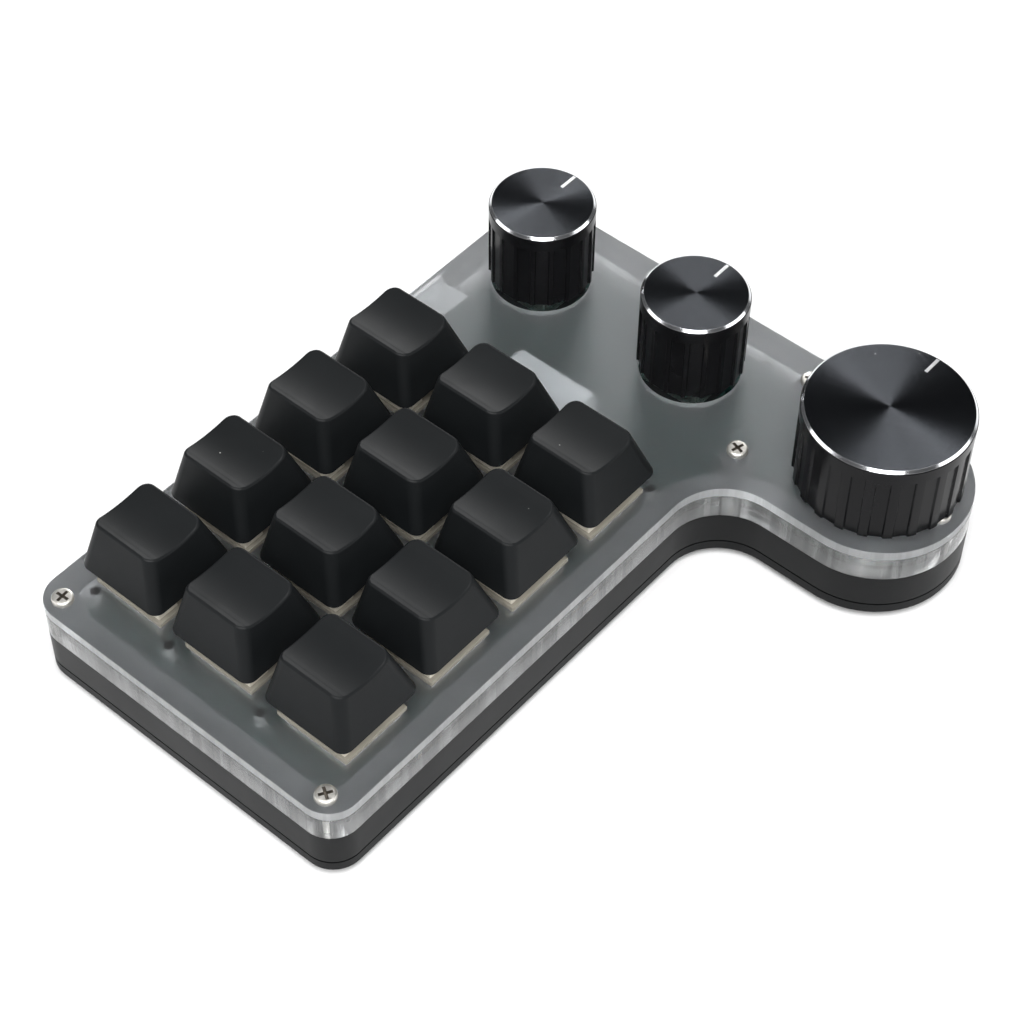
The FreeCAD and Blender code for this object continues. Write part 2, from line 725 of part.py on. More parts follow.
def make_stem():
    """Slider with side rails, a spring bore and the cross that the keycap is pushed onto."""
    body = new_body("StemMaster")
    seat = size("housing_rise") + 0.4
    foot = SWITCH_FLOOR - size("switch_depth") + size("key_travel") + 0.1
    block_tall = seat - foot
    block = new_sketch(body, "StemBlock", seat)
    rectangle(block, 0, 0, 7.0, 5.6)
    pad(body, block, block_tall, downwards=True)
    cross = new_sketch(body, "StemCross", seat)
    polygon(cross, cross_corners(size("cross_long") / 2, size("cross_arm") / 2))
    pad(body, cross, 3.6)
    bore = new_sketch(body, "StemSpringBore", foot)
    rectangle(bore, 0, 0, 4.6, 4.6)
    pocket(body, bore, 5.3, downwards=False)
    rails = new_sketch(body, "StemRails", seat - 0.6)
    for side in (-1, 1):
        rectangle(rails, 3.5 * side, 0, 0.36, 2.4)
    pad(body, rails, 5.9, downwards=True)
    return body


def make_spring_sleeve():
    """Six-sided sleeve that fills the space of the return spring."""
    body = new_body("SpringMaster")
    low = SWITCH_FLOOR - size("switch_depth")
    sketch = new_sketch(body, "SpringRing", low)
    for reach in (2.2, 1.8):
        many_sided(sketch, 0, 0, reach, 6)
    pad(body, sketch, size("housing_rise") - 0.8 - low)
    return body


def make_contact():
    """Bent leaf that the stem's ramp pushes against."""
    body = new_body("ContactMaster")
    depth = size("switch_depth")
    leaf = new_sketch(body, "ContactLeaf", plane="YZ_Plane")
    near, out, thick = -3.3, -4.2, 0.25
    polygon(leaf, [(out, SWITCH_FLOOR - depth), (out + thick, SWITCH_FLOOR - depth), (out + thick, -0.6),
                   (near, 0.4), (near, 0.8), (out, -0.2)])
    pad(body, leaf, 4.6, both=True)
    return body


def make_keycap():
    """Blank cap with sloping sides, a dish across its top and a cross socket inside."""
    body = new_body("KeycapMaster")
    tall, dish, wall = size("cap_height"), size("cap_dish"), size("cap_wall")
    base, shift = size("cap_base"), size("cap_top_shift")
    top_x, top_y = size("cap_top_x"), size("cap_top_y")
    wedge(body, "Additive", "CapOutside", 0, tall, (base, base), (top_x, top_y), shift)
    cut_corners(body, size("cap_corner"))
    ceiling = tall - dish - wall
    wedge(body, "Subtractive", "CapInside", 0, ceiling, (base - wall * 2, base - wall * 2),
          (top_x - wall, top_y - wall), shift * 0.8)
    bend = (top_x * top_x / 4 + dish * dish) / (dish * 2)
    hollow = new_sketch(body, "CapDish", plane="XZ_Plane")
    circle(hollow, 0, tall - dish + bend, bend)
    pocket(body, hollow, base * 2, both=True)
    socket = new_sketch(body, "CapSocket", SOCKET_FLOOR)
    many_sided(socket, 0, 0, 2.8, 12)
    pad(body, socket, ceiling - SOCKET_FLOOR)
    slot = new_sketch(body, "CapSocketCross", SOCKET_FLOOR)
    play = size("cross_play")
    polygon(slot, cross_corners(size("cross_long") / 2 + play, size("cross_arm") / 2 + play))
    pocket(body, slot, 3.8, downwards=False)
    return body


# Rotary encoders. Height 0 is the top of the board.

def make_encoder_base():
    body = new_body("EncoderBaseMaster")
    block = new_sketch(body, "EncoderBlock")
    rectangle(block, 0, 0, ENCODER_WIDE, ENCODER_WIDE)
    pad(body, block, ENCODER_BASE_TALL)
    room = new_sketch(body, "EncoderSwitchRoom", ENCODER_BASE_TALL)
    rectangle(room, 0, 0, 7.6, 7.6)
    pocket(body, room, ENCODER_BASE_TALL - ENCODER_FLOOR, downwards=True)
    return body


def make_encoder_housing():
    """Folded metal cover with the collar that guides the shaft."""
    body = new_body("EncoderHousingMaster")
    cover = new_sketch(body, "HousingCover", ENCODER_BASE_TALL)
    rectangle(cover, 0, 0, ENCODER_WIDE, ENCODER_WIDE)
    pad(body, cover, ENCODER_COVER_TALL)
    collar = new_sketch(body, "HousingBushing", ENCODER_BASE_TALL + ENCODER_COVER_TALL)
    many_sided(collar, 0, 0, size("bushing_round"), BUSHING_SIDES)
    pad(body, collar, BUSHING_TALL)
    room = new_sketch(body, "HousingRotorRoom", ENCODER_BASE_TALL)
    rectangle(room, 0, 0, ENCODER_WIDE - 1.6, ENCODER_WIDE - 1.6)
    pocket(body, room, ENCODER_COVER_TALL - 1, downwards=False)
    bore = new_sketch(body, "HousingBore", ENCODER_BASE_TALL)
    circle(bore, 0, 0, size("shaft_round") + size("running_gap"))
    pocket(body, bore, through=True, downwards=False)
    return body


def cut_flat(body, name, low, tall, play):
    """Mills the flat of a D shape along a length of the body."""
    sketch = new_sketch(body, name, low)
    edge = size("shaft_flat") + play
    polygon(sketch, [(edge, -6), (edge + 6, -6), (edge + 6, 6), (edge, 6)])
    return pocket(body, sketch, tall, downwards=False)


def d_bore(body, name, low, tall):
    """A D shaped bore, a little wider than the shaft."""
    sketch = new_sketch(body, name, low)
    reach = size("shaft_round") + size("running_gap")
    flat = size("shaft_flat") + size("running_gap")
    half = math.sqrt(reach.value ** 2 - flat.value ** 2)
    bend = math.atan2(half, flat.value)
    arc = sketch.addGeometry(Part.ArcOfCircle(Part.Circle(Vector(), Vector(0, 0, 1), reach.value),
                                              bend, 2 * math.pi - bend))
    line = sketch.addGeometry(Part.LineSegment(Vector(flat.value, -half, 0), Vector(flat.value, half, 0)))
    sketch.addConstraint(Sketcher.Constraint("Coincident", arc, 3, -1, 1))
    sketch.addConstraint(Sketcher.Constraint("Coincident", arc, 2, line, 1))
    sketch.addConstraint(Sketcher.Constraint("Coincident", arc, 1, line, 2))
    sketch.addConstraint(Sketcher.Constraint("Vertical", line))
    radius(sketch, arc, reach)
    dimension(sketch, "DistanceX", line, 1, flat)
    return pocket(body, sketch, tall, downwards=False)


def make_encoder_rotor():
    """Star shaped detent wheel, driven by the shaft's flat."""
    body = new_body("RotorMaster")
    low, tall, points = ENCODER_BASE_TALL + 0.1, 1.9, 12
    star = new_sketch(body, "RotorStar", low)
    corners = []
    for step in range(points * 2):
        turn = math.pi * (step + 0.5) / points
        reach = 4.7 if step % 2 else 4.2
        corners.append((reach * math.cos(turn), reach * math.sin(turn)))
    polygon(star, corners)
    pad(body, star, tall)
    d_bore(body, "RotorBore", low, tall)
    return body


def make_encoder_shaft():
    body = new_body("ShaftMaster")
    low, high = ENCODER_FLOOR + size("knob_travel") + 0.2, SHAFT_TOP
    rod = new_sketch(body, "ShaftRod", low)
    circle(rod, 0, 0, size("shaft_round"))
    pad(body, rod, high - low)
    cut_flat(body, "ShaftLowFlat", low, 3.4, 0)
    cut_flat(body, "ShaftHighFlat", SHAFT_FLAT_LOW, high - SHAFT_FLAT_LOW, 0)
    return body


# Knobs. Height 0 is the underside of the knob.

def make_knob_shell(label, outside, recess, flutes):
    """Turned shell with a bright edge, a flat face, milled flutes and a marker groove."""
    body = new_body(label)
    tall, side = size("knob_height"), outside - 0.15
    profile = new_sketch(body, label + "Profile", plane="XZ_Plane")
    polygon(profile, [(0, 0), (side, 0), (side, tall - 0.6), (outside - 0.7, tall), (0, tall)])
    revolve(body, profile)
    hollow = new_sketch(body, label + "Recess")
    many_sided(hollow, 0, 0, recess, RECESS_SIDES)
    pocket(body, hollow, KNOB_RECESS_DEEP, downwards=False)
    core = new_sketch(body, label + "InsertRoom", KNOB_RECESS_DEEP)
    many_sided(core, 0, 0, size("insert_round"), INSERT_SIDES)
    pocket(body, core, tall - KNOB_FACE_THICK - KNOB_RECESS_DEEP, downwards=False)
    floor, half_wide, slope = outside - 0.55, 1.1, 0.35
    flute = new_sketch(body, label + "Flute")
    polygon(flute, [(floor, -half_wide), (floor + 1, -half_wide - slope * 2),
                    (floor + 1, half_wide + slope * 2), (floor, half_wide)])
    groove = pocket(body, flute, tall - 3.0, downwards=False)
    polar(body, groove, flutes)
    marker = new_sketch(body, label + "Marker", tall)
    rectangle(marker, outside - 2.7, 0, 3.8, 0.7)
    pocket(body, marker, 0.3, downwards=True)
    screw_bore(body, label + "ScrewBore", outside)
    return body


def screw_bore(body, name, reach):
    """Cross bore for the grub screw that clamps the shaft's flat."""
    sketch = new_sketch(body, name, plane="YZ_Plane")
    many_sided(sketch, 0, GRUB_HEIGHT, GRUB_REACH + 0.02, GRUB_SIDES)
    return pocket(body, sketch, reach + 1, downwards=False)


def make_knob_insert():
    """Brass core of a knob, with a D shaped bore."""
    body = new_body("InsertMaster")
    low = KNOB_RECESS_DEEP
    core = new_sketch(body, "InsertCore", low)
    many_sided(core, 0, 0, size("insert_round"), INSERT_SIDES)
    pad(body, core, size("knob_height") - KNOB_FACE_THICK - low)
    d_bore(body, "InsertBore", low, SHAFT_TOP + 0.2 - KNOB_ON_BOARD - low)
    screw_bore(body, "InsertScrewBore", size("insert_round"))
    return body


def make_grub_screw(label, reach):
    """Grub screw from the shaft's flat to just inside the knob's side."""
    body = new_body(label)
    sketch = new_sketch(body, label + "Round", size("shaft_flat") + size("running_gap"), "YZ_Plane")
    many_sided(sketch, 0, GRUB_HEIGHT, GRUB_REACH, GRUB_SIDES)
    pad(body, sketch, reach - size("shaft_flat") - 0.6)
    key = new_sketch(body, label + "Key", reach - 0.5, "YZ_Plane")
    many_sided(key, 0, GRUB_HEIGHT, 0.85, 6)
    pocket(body, key, 1.2, downwards=True)
    return body


def make_case():
    parts = [make_bottom_cover(), make_case_frame(), make_clear_spacer(), make_top_plate()]
    parts += [make_circuit_board(), make_board_standoffs(), make_board_spacers(), make_rubber_feet()]
    parts += make_screws()
    parts += [make_usb_socket(), make_controller_module(), make_diodes()]
    return parts


def make_keys():
    groups = [("switch_bases", make_switch_base()), ("switch_tops", make_switch_top()),
              ("switch_springs", make_spring_sleeve()), ("switch_contacts", make_contact())]
    parts = [copies(label, master, key_spots(TOP_Z)) for label, master in groups]
    cap, stem = make_keycap(), make_stem()
    for row in range(ROWS):
        for column in range(COLUMNS):
            x, y = key_place(column, row)
            name = "row%d_col%d" % (row + 1, column + 1)
            parts.append(single("keycap_" + name, cap, x, y, TOP_Z + size("cap_lift")))
            parts.append(single("stem_" + name, stem, x, y, TOP_Z))
    return parts


def make_knobs():
    places = spots([(size("knob_x"), size(y)) for name, y, knob_round in KNOBS], BOARD_TOP_Z)
    parts = [copies("encoder_bases", make_encoder_base(), places),
             copies("encoder_housings", make_encoder_housing(), places)]
    rotor, shaft, insert = make_encoder_rotor(), make_encoder_shaft(), make_knob_insert()
    small, large = size("small_knob_round"), size("large_knob_round")
    shells = {"small_knob_round": make_knob_shell("SmallShell", small, 6.6, 18),
              "large_knob_round": make_knob_shell("LargeShell", large, 11.0, 22)}
    grubs = {"small_knob_round": make_grub_screw("SmallGrub", small),
             "large_knob_round": make_grub_screw("LargeGrub", large)}
    for name, y, knob_round in KNOBS:
        x, y = size("knob_x"), size(y)
        parts.append(single("encoder_rotor_" + name, rotor, x, y, BOARD_TOP_Z))
        parts.append(single("encoder_shaft_" + name, shaft, x, y, BOARD_TOP_Z))
        parts.append(single("knob_" + name, shells[knob_round], x, y, KNOB_Z))
        parts.append(single("knob_insert_" + name, insert, x, y, KNOB_Z))
        parts.append(single("knob_screw_" + name, grubs[knob_round], x, y, KNOB_Z))
    return parts


def check(parts):
    """Stops on any failed object or unsound solid before a file is written."""
    doc.recompute()
    for item in doc.Objects:
        if any(word in ("Invalid", "Error") for word in item.State):
            raise RuntimeError("%s failed: %s" % (item.Label, item.State))
    for item in parts:
        if item.Shape.isNull() or not item.Shape.isValid():
            raise RuntimeError("%s has no sound shape" % item.Label)


def export(parts):
    os.makedirs("parts", exist_ok=True)
    for item in parts:
        item.Shape.exportStep("parts/%s.step" % item.Label)
        print("%-24s solids %2d volume %9.1f" % (item.Label, len(item.Shape.Solids), item.Shape.Volume))


all_parts = make_case() + make_keys() + make_knobs()
check(all_parts)
export(all_parts)
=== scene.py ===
import json
import math

import bmesh
import bpy
from mathutils import Matrix, Vector


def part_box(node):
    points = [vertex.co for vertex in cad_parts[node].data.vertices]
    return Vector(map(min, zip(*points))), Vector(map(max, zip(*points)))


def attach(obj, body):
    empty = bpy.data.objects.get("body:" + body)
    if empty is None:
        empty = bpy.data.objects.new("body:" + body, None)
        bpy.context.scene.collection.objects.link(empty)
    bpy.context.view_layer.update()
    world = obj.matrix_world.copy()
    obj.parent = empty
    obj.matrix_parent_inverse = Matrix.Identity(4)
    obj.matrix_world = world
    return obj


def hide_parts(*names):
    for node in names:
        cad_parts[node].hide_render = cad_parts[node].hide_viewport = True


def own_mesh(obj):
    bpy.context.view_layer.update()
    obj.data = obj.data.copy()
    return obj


MM = 0.001

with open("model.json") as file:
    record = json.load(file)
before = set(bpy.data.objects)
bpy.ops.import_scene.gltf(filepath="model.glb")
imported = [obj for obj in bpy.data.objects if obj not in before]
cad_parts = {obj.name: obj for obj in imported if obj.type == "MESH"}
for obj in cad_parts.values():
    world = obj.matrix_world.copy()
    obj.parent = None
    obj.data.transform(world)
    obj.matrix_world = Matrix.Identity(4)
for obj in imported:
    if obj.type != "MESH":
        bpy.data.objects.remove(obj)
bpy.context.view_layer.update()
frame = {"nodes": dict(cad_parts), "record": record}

KEYS = ["row%d_col%d" % (row, column) for row in (1, 2, 3) for column in (1, 2, 3, 4)]
KNOBS = ["back", "middle", "front"]

# Sizes in millimetres of what has no size in the frame. Profiles are (radius, height).

# Screws
HEAD_TALL = 0.95
PAN_HEAD = [(0, HEAD_TALL), (1.45, HEAD_TALL), (1.66, 0.90), (1.81, 0.78), (1.88, 0.62),
            (1.9, 0.44), (1.9, 0.06), (1.84, 0.0), (0, 0)]
HEAD_STEPS = 32
RECESS_FLOOR = 0.06
RECESS_REACH, RECESS_ARM = 1.22, 0.27
RECESS_TAPER = 0.66
TOP_SCREW_LONG, BOTTOM_SCREW_LONG = 9.5, 4.6
SCREW_TIP, SCREW_CORE, SCREW_ROUND = 0.62, 0.80, 0.98
SCREW_PITCH = 0.45
RIDGE_HALF = 0.16
SCREW_TURN = math.radians(37)

# Key springs
SPRING_ROUND = 1.95
SPRING_WIRE = 0.16
SPRING_TURNS = 7

# Keycaps
CAP_BASE = 18.0
CAP_TALL = 9.2
CAP_TOP_X, CAP_TOP_Y = 12.2, 13.4
CAP_SHIFT = 0.9
CAP_DISH = 0.9
CAP_WALL = 1.3
CAP_CEILING = 7.0
CAP_CORNER = 1.9
CAP_CORNER_STEPS = 6
CAP_STRIPS = 12
CAP_RIM = 0.38
CAP_FOOT = 0.22
CAP_SOCKET_REACH = 3.2
CAP_FRONT_LEAN = (CAP_BASE / 2 - CAP_TOP_Y / 2 + CAP_SHIFT) / CAP_TALL
CAP_BACK_LEAN = (CAP_BASE / 2 - CAP_TOP_Y / 2 - CAP_SHIFT) / CAP_TALL

# Knobs: the face ends FACE_EDGE inside the rim, and heights count from the top
FACE_EDGE = 0.55
GROOVE_DEEP = 0.35
BARE_EDGE_LOW, BARE_EDGE_HIGH = -0.46, -0.42
MARKER_LONG, MARKER_WIDE, MARKER_TALL = 3.7, 0.62, 0.27
MARKER_INSET = 0.12
MARKER_MIDDLE = 0.155
RING_PITCH, RING_TILT = 0.09, 0.36

# Case, feet, socket and module
SEAM_TALL, SEAM_DEEP = 0.34, 0.40
AIR_GAP = 0.04
FOOT_PROFILE = [(0, 0), (3.3, 0), (3.75, 0.14), (3.95, 0.42), (4.0, 1.0), (0, 1.0)]
FOOT_STEPS = 48
SOCKET_PADS = 12
SOCKET_PAD_PITCH = 0.5
SOCKET_PAD_SIZE = (0.26, 2.6, 0.05)
SOCKET_PAD_BACK, SOCKET_PAD_RISE = 1.2, 0.355
MODULE_PAD_CORNER = 0.8
MODULE_PAD_GAP = 0.05

# Radius of the rounded edges of each piece that keeps its solid's shape
ROUNDING = {"bottom_cover": 0.40, "case_frame": 0.18, "clear_spacer": 0.12, "top_plate": 0.16,
            "usb_socket": 0.06, "controller_module": 0.15, "switch_bases": 0.10,
            "switch_tops": 0.15, "knob": 0.07}

# Noise scales, in repeats per metre
SHADE_SCALE = 110.0
SPECK_SCALE = 210.0
SMEAR_SCALE = 45.0
PLATING_SCALE = 600.0
FROST_SCALE = 5200.0
TRACK_SCALE = 240.0
MASK_SCALE = 300.0

# Colours and roughness that the finishes share. A shade is a share of the full colour.
DUST_COLOUR = (0.50, 0.50, 0.48, 1.0)
PALE_DUST = (0.8, 0.8, 0.78, 1.0)
PLASTIC_SHADE = 0.85
METAL_SHADE = 0.8
DRAWN_LINE = 0.12
FROST_DEPTH = 0.12
BARE_METAL = (0.86, 0.87, 0.89, 1.0)
BARE_ROUGHNESS = 0.14
KNOB_BLACK = (0.005, 0.005, 0.0055)
KNOB_SHADE = (0.006, 0.006, 0.007, 1.0)
KNOB_FACE_COLOUR = (0.034, 0.037, 0.042, 1.0)
KNOB_SIDE_ROUGHNESS = 0.20
KNOB_FACE_ROUGHNESS = 0.22


# Shader tools

def add(tree, kind, **inputs):
    """A shader node with some of its input values set by name."""
    node = tree.nodes.new(kind)
    for name, value in inputs.items():
        node.inputs[name.replace("_", " ")].default_value = value
    return node


def join(tree, source, target):
    tree.links.new(source, target)


def maths(tree, operation, first, second=0.0):
    """A maths node. Each of its values is a socket or a number."""
    node = tree.nodes.new("ShaderNodeMath")
    node.operation = operation
    for index, value in enumerate((first, second)):
        if isinstance(value, (int, float)):
            node.inputs[index].default_value = value
        else:
            tree.links.new(value, node.inputs[index])
    return node.outputs[0]


def vector_maths(tree, operation, first, second=None):
    """A vector maths node with its first value joined and its second joined or set."""
    node = tree.nodes.new("ShaderNodeVectorMath")
    node.operation = operation
    join(tree, first, node.inputs[0])
    if isinstance(second, tuple):
        node.inputs[1].default_value = second
    elif second is not None:
        join(tree, second, node.inputs[1])
    return node


def stretch(tree, value, low, high, to_low=0.0, to_high=1.0):
    """Maps a value from one range to another and clamps it."""
    node = tree.nodes.new("ShaderNodeMapRange")
    for index, number in enumerate((low, high, to_low, to_high), start=1):
        if isinstance(number, (int, float)):
            node.inputs[index].default_value = number
        else:
            tree.links.new(number, node.inputs[index])
    tree.links.new(value, node.inputs[0])
    return node.outputs[0]


def blend_colours(tree, share, first, second):
    """Mixes two colours, each a socket or red, green, blue and alpha."""
    node = tree.nodes.new("ShaderNodeMix")
    node.data_type = "RGBA"
    for name, value in (("A_Color", first), ("B_Color", second), ("Factor_Float", share)):
        socket = [item for item in node.inputs if item.identifier == name][0]
        if isinstance(value, (tuple, float)):
            socket.default_value = value
        else:
            tree.links.new(value, socket)
    return [item for item in node.outputs if item.identifier == "Result_Color"][0]


def new_group(name, inputs, outputs):
    """An empty shader group. inputs are (name, kind, value), outputs are (name, kind)."""
    group = bpy.data.node_groups.new(name, "ShaderNodeTree")
    for title, kind, value in inputs:
        socket = group.interface.new_socket(title, in_out="INPUT",
                                            socket_type="NodeSocket" + kind)
        socket.default_value = value
    for title, kind in outputs:
        group.interface.new_socket(title, in_out="OUTPUT", socket_type="NodeSocket" + kind)
    return group, group.nodes.new("NodeGroupInput"), group.nodes.new("NodeGroupOutput")


def use_group(tree, group, **inputs):
    node = tree.nodes.new("ShaderNodeGroup")
    node.node_tree = group
    for name, value in inputs.items():
        node.inputs[name.replace("_", " ")].default_value = value
    return node


def object_coordinates(tree):
    return tree.nodes.new("ShaderNodeTexCoord").outputs["Object"]


def noise(tree, vector, scale, detail=2.0, rough=0.5):
    node = add(tree, "ShaderNodeTexNoise", Scale=scale, Detail=detail, Roughness=rough)
    join(tree, vector, node.inputs["Vector"])
    return node.outputs["Fac"]


# Effects that several finishes share

def moulded_grain():
    """Fine spark-eroded texture of moulded plastic, with slow changes in shade."""
    group, inner, outer = new_group("moulded grain", [("Grain size", "Float", 0.25)],
                                    [("Height", "Float"), ("Shade", "Float")])
    where = object_coordinates(group)
    scale = maths(group, "DIVIDE", 1.0 / MM, inner.outputs["Grain size"])
    fine = add(group, "ShaderNodeTexNoise", Detail=3.0)
    join(group, where, fine.inputs["Vector"])
    join(group, scale, fine.inputs["Scale"])
    join(group, fine.outputs["Fac"], outer.inputs["Height"])
    slow = noise(group, where, SHADE_SCALE, 4.0, 0.6)
    join(group, stretch(group, slow, 0.3, 0.7), outer.inputs["Shade"])
    return group


def handling_marks():
    """Faint smears and a few specks of dust, as on a handled thing."""
    group, inner, outer = new_group("handling marks",
                                    [("Dust", "Float", 0.5), ("Smears", "Float", 0.5)],
                                    [("Dust mask", "Float"), ("Smear", "Float")])
    where = object_coordinates(group)
    specks = add(group, "ShaderNodeTexVoronoi", Scale=SPECK_SCALE)
    join(group, where, specks.inputs["Vector"])
    chosen = group.nodes.new("ShaderNodeSeparateColor")
    join(group, specks.outputs["Color"], chosen.inputs[0])
    near = stretch(group, specks.outputs["Distance"], 0.015, 0.035, 1.0, 0.0)
    some = stretch(group, chosen.outputs[0], 0.80, 0.81, 0.0, 1.0)
    mask = maths(group, "MULTIPLY", near, some)
    join(group, maths(group, "MULTIPLY", mask, inner.outputs["Dust"]), outer.inputs["Dust mask"])
    smear = stretch(group, noise(group, where, SMEAR_SCALE, 5.0, 0.65), 0.35, 0.75)
    join(group, maths(group, "MULTIPLY", smear, inner.outputs["Smears"]), outer.inputs["Smear"])
    return group


def cut_marks():
    """Upright ripples that a saw or beam leaves on the edge of a clear sheet."""
    group, inner, outer = new_group("cut marks", [("Spacing", "Float", 0.3)],
                                    [("Height", "Float")])
    where = add(group, "ShaderNodeMapping", Scale=(1.0, 1.0, 0.02))
    join(group, object_coordinates(group), where.inputs["Vector"])
    fine = add(group, "ShaderNodeTexNoise", Detail=4.0, Roughness=0.7)
    join(group, where.outputs[0], fine.inputs["Vector"])
    join(group, maths(group, "DIVIDE", 0.3 / MM, inner.outputs["Spacing"]), fine.inputs["Scale"])
    join(group, fine.outputs["Fac"], outer.inputs["Height"])
    return group


def turned_rings():
    """Fine rings around an upright axis, as a normal that tilts to and from the axis."""
    group, inner, outer = new_group("turned rings",
                                    [("Centre", "Vector", (0.0, 0.0, 0.0)),
                                     ("Pitch", "Float", 0.1), ("Tilt", "Float", 0.3)],
                                    [("Normal", "Vector"), ("Radius", "Float")])
    offset = vector_maths(group, "SUBTRACT", object_coordinates(group), inner.outputs["Centre"])
    level = vector_maths(group, "MULTIPLY", offset.outputs[0], (1.0, 1.0, 0.0))
    length = vector_maths(group, "LENGTH", level.outputs[0])
    radius = maths(group, "DIVIDE", length.outputs["Value"], MM)
    join(group, radius, outer.inputs["Radius"])
    turns = maths(group, "DIVIDE", radius, inner.outputs["Pitch"])
    wave = maths(group, "SINE", maths(group, "MULTIPLY", turns, math.tau))
    outwards = vector_maths(group, "NORMALIZE", level.outputs[0])
    lean = vector_maths(group, "SCALE", outwards.outputs[0])
    join(group, maths(group, "MULTIPLY", wave, inner.outputs["Tilt"]), lean.inputs["Scale"])
    upright = vector_maths(group, "ADD", lean.outputs[0], (0.0, 0.0, 1.0))
    to_world = group.nodes.new("ShaderNodeVectorTransform")
    to_world.vector_type = "NORMAL"
    to_world.convert_from, to_world.convert_to = "OBJECT", "WORLD"
    join(group, upright.outputs[0], to_world.inputs[0])
    unit = vector_maths(group, "NORMALIZE", to_world.outputs[0])
    join(group, unit.outputs[0], outer.inputs["Normal"])
    return group


GRAIN = moulded_grain()
MARKS = handling_marks()
CUT = cut_marks()
RINGS = turned_rings()


# Finishes

def new_finish(name, colour, roughness, metallic=0.0, gloss=0.5):
    """A plain material, with its node tree and its shader."""
    material = bpy.data.materials.new(name)
    material.use_nodes = True
    tree = material.node_tree
    shader = tree.nodes["Principled BSDF"]
    shader.inputs["Base Color"].default_value = (*colour, 1.0)
    shader.inputs["Roughness"].default_value = roughness
    shader.inputs["Metallic"].default_value = metallic
    shader.inputs["IOR"].default_value = 1.49
    shader.inputs["Specular IOR Level"].default_value = gloss
    return material, tree, shader


def bump(tree, shader, height, depth):
    """Turns a height into the shader's normal. depth is in millimetres."""
    node = add(tree, "ShaderNodeBump", Strength=1.0, Distance=depth * MM)
    join(tree, height, node.inputs["Height"])
    join(tree, node.outputs["Normal"], shader.inputs["Normal"])


def plastic(name, colour, roughness, grain=0.3, depth=0.01, dust=0.0, smears=0.1, gloss=0.5):
    """Moulded plastic with grain, slow shade changes, smears and dust."""
    material, tree, shader = new_finish(name, colour, roughness, gloss=gloss)
    texture = use_group(tree, GRAIN, Grain_size=grain)
    marks = use_group(tree, MARKS, Dust=dust, Smears=smears)
    darker = tuple(part * PLASTIC_SHADE for part in colour)
    shade = blend_colours(tree, texture.outputs["Shade"], (*darker, 1.0), (*colour, 1.0))
    dusty = blend_colours(tree, marks.outputs["Dust mask"], shade, DUST_COLOUR)
    join(tree, dusty, shader.inputs["Base Color"])
    join(tree, maths(tree, "ADD", marks.outputs["Smear"], roughness), shader.inputs["Roughness"])
    bump(tree, shader, texture.outputs["Height"], depth)
    return material


def metal(name, colour, roughness, depth=0.006):
    """Plain metal with fine drawn lines and cloudy plating."""
    material, tree, shader = new_finish(name, colour, roughness, metallic=1.0)
    where = add(tree, "ShaderNodeMapping", Scale=(1.0, 1.0, 8.0))
    join(tree, object_coordinates(tree), where.inputs["Vector"])
    lines = noise(tree, where.outputs[0], 0.3 / (DRAWN_LINE * MM), 3.0, 0.6)
    clouds = noise(tree, object_coordinates(tree), PLATING_SCALE, 3.0)
    low = tuple(part * METAL_SHADE for part in colour)
    shade = blend_colours(tree, stretch(tree, clouds, 0.35, 0.65), (*low, 1.0), (*colour, 1.0))
    join(tree, shade, shader.inputs["Base Color"])
    rough = stretch(tree, lines, 0.3, 0.7, roughness * 0.75, roughness * 1.35)
    join(tree, rough, shader.inputs["Roughness"])
    bump(tree, shader, lines, depth)
    return material


def sheet_acrylic(name, colour, transmission, face_roughness, edge_roughness, mark_depth, spacing,
                  gloss, edge_streak_shade=1.0):
    """Acrylic sheet. Its faces and its cut edges have their own roughness.

    Colour is multiplied by the streak share in painted shade bands along a cut edge, so at 1
    there are none: the bands stand in for the light and dark streaking that the cut ripples
    reflect.
    """
    material, tree, shader = new_finish(name, colour, face_roughness, gloss=gloss)
    shader.inputs["Transmission Weight"].default_value = transmission
    normal = tree.nodes.new("ShaderNodeNewGeometry").outputs["Normal"]
    parts = tree.nodes.new("ShaderNodeSeparateXYZ")
    join(tree, normal, parts.inputs[0])
    face = stretch(tree, maths(tree, "ABSOLUTE", parts.outputs[2]), 0.75, 0.95)
    marks = use_group(tree, MARKS, Dust=0.9, Smears=0.06)
    rough = stretch(tree, face, 0.0, 1.0, edge_roughness, face_roughness)
    join(tree, maths(tree, "ADD", rough, marks.outputs["Smear"]), shader.inputs["Roughness"])
    ripples = use_group(tree, CUT, Spacing=spacing)
    # Painted shade: the colour darkens in bands along the cut ripples, standing in for the light
    # and dark bands that they reflect.
    dim = tuple(part * edge_streak_shade for part in colour)
    painted_streak_mask = stretch(tree, ripples.outputs["Height"], 0.44, 0.56)
    with_painted_streak_shade = blend_colours(tree, painted_streak_mask, (*dim, 1.0), (*colour, 1.0))
    dusty = blend_colours(tree, marks.outputs["Dust mask"], with_painted_streak_shade, PALE_DUST)
    join(tree, dusty, shader.inputs["Base Color"])
    frost = noise(tree, object_coordinates(tree), FROST_SCALE, 2.0)
    edge = maths(tree, "SUBTRACT", 1.0, face)
    edge_height = maths(tree, "MULTIPLY", ripples.outputs["Height"], edge)
    face_height = maths(tree, "MULTIPLY", frost, maths(tree, "MULTIPLY", face, FROST_DEPTH))
    bump(tree, shader, maths(tree, "ADD", edge_height, face_height), mark_depth)
    return material


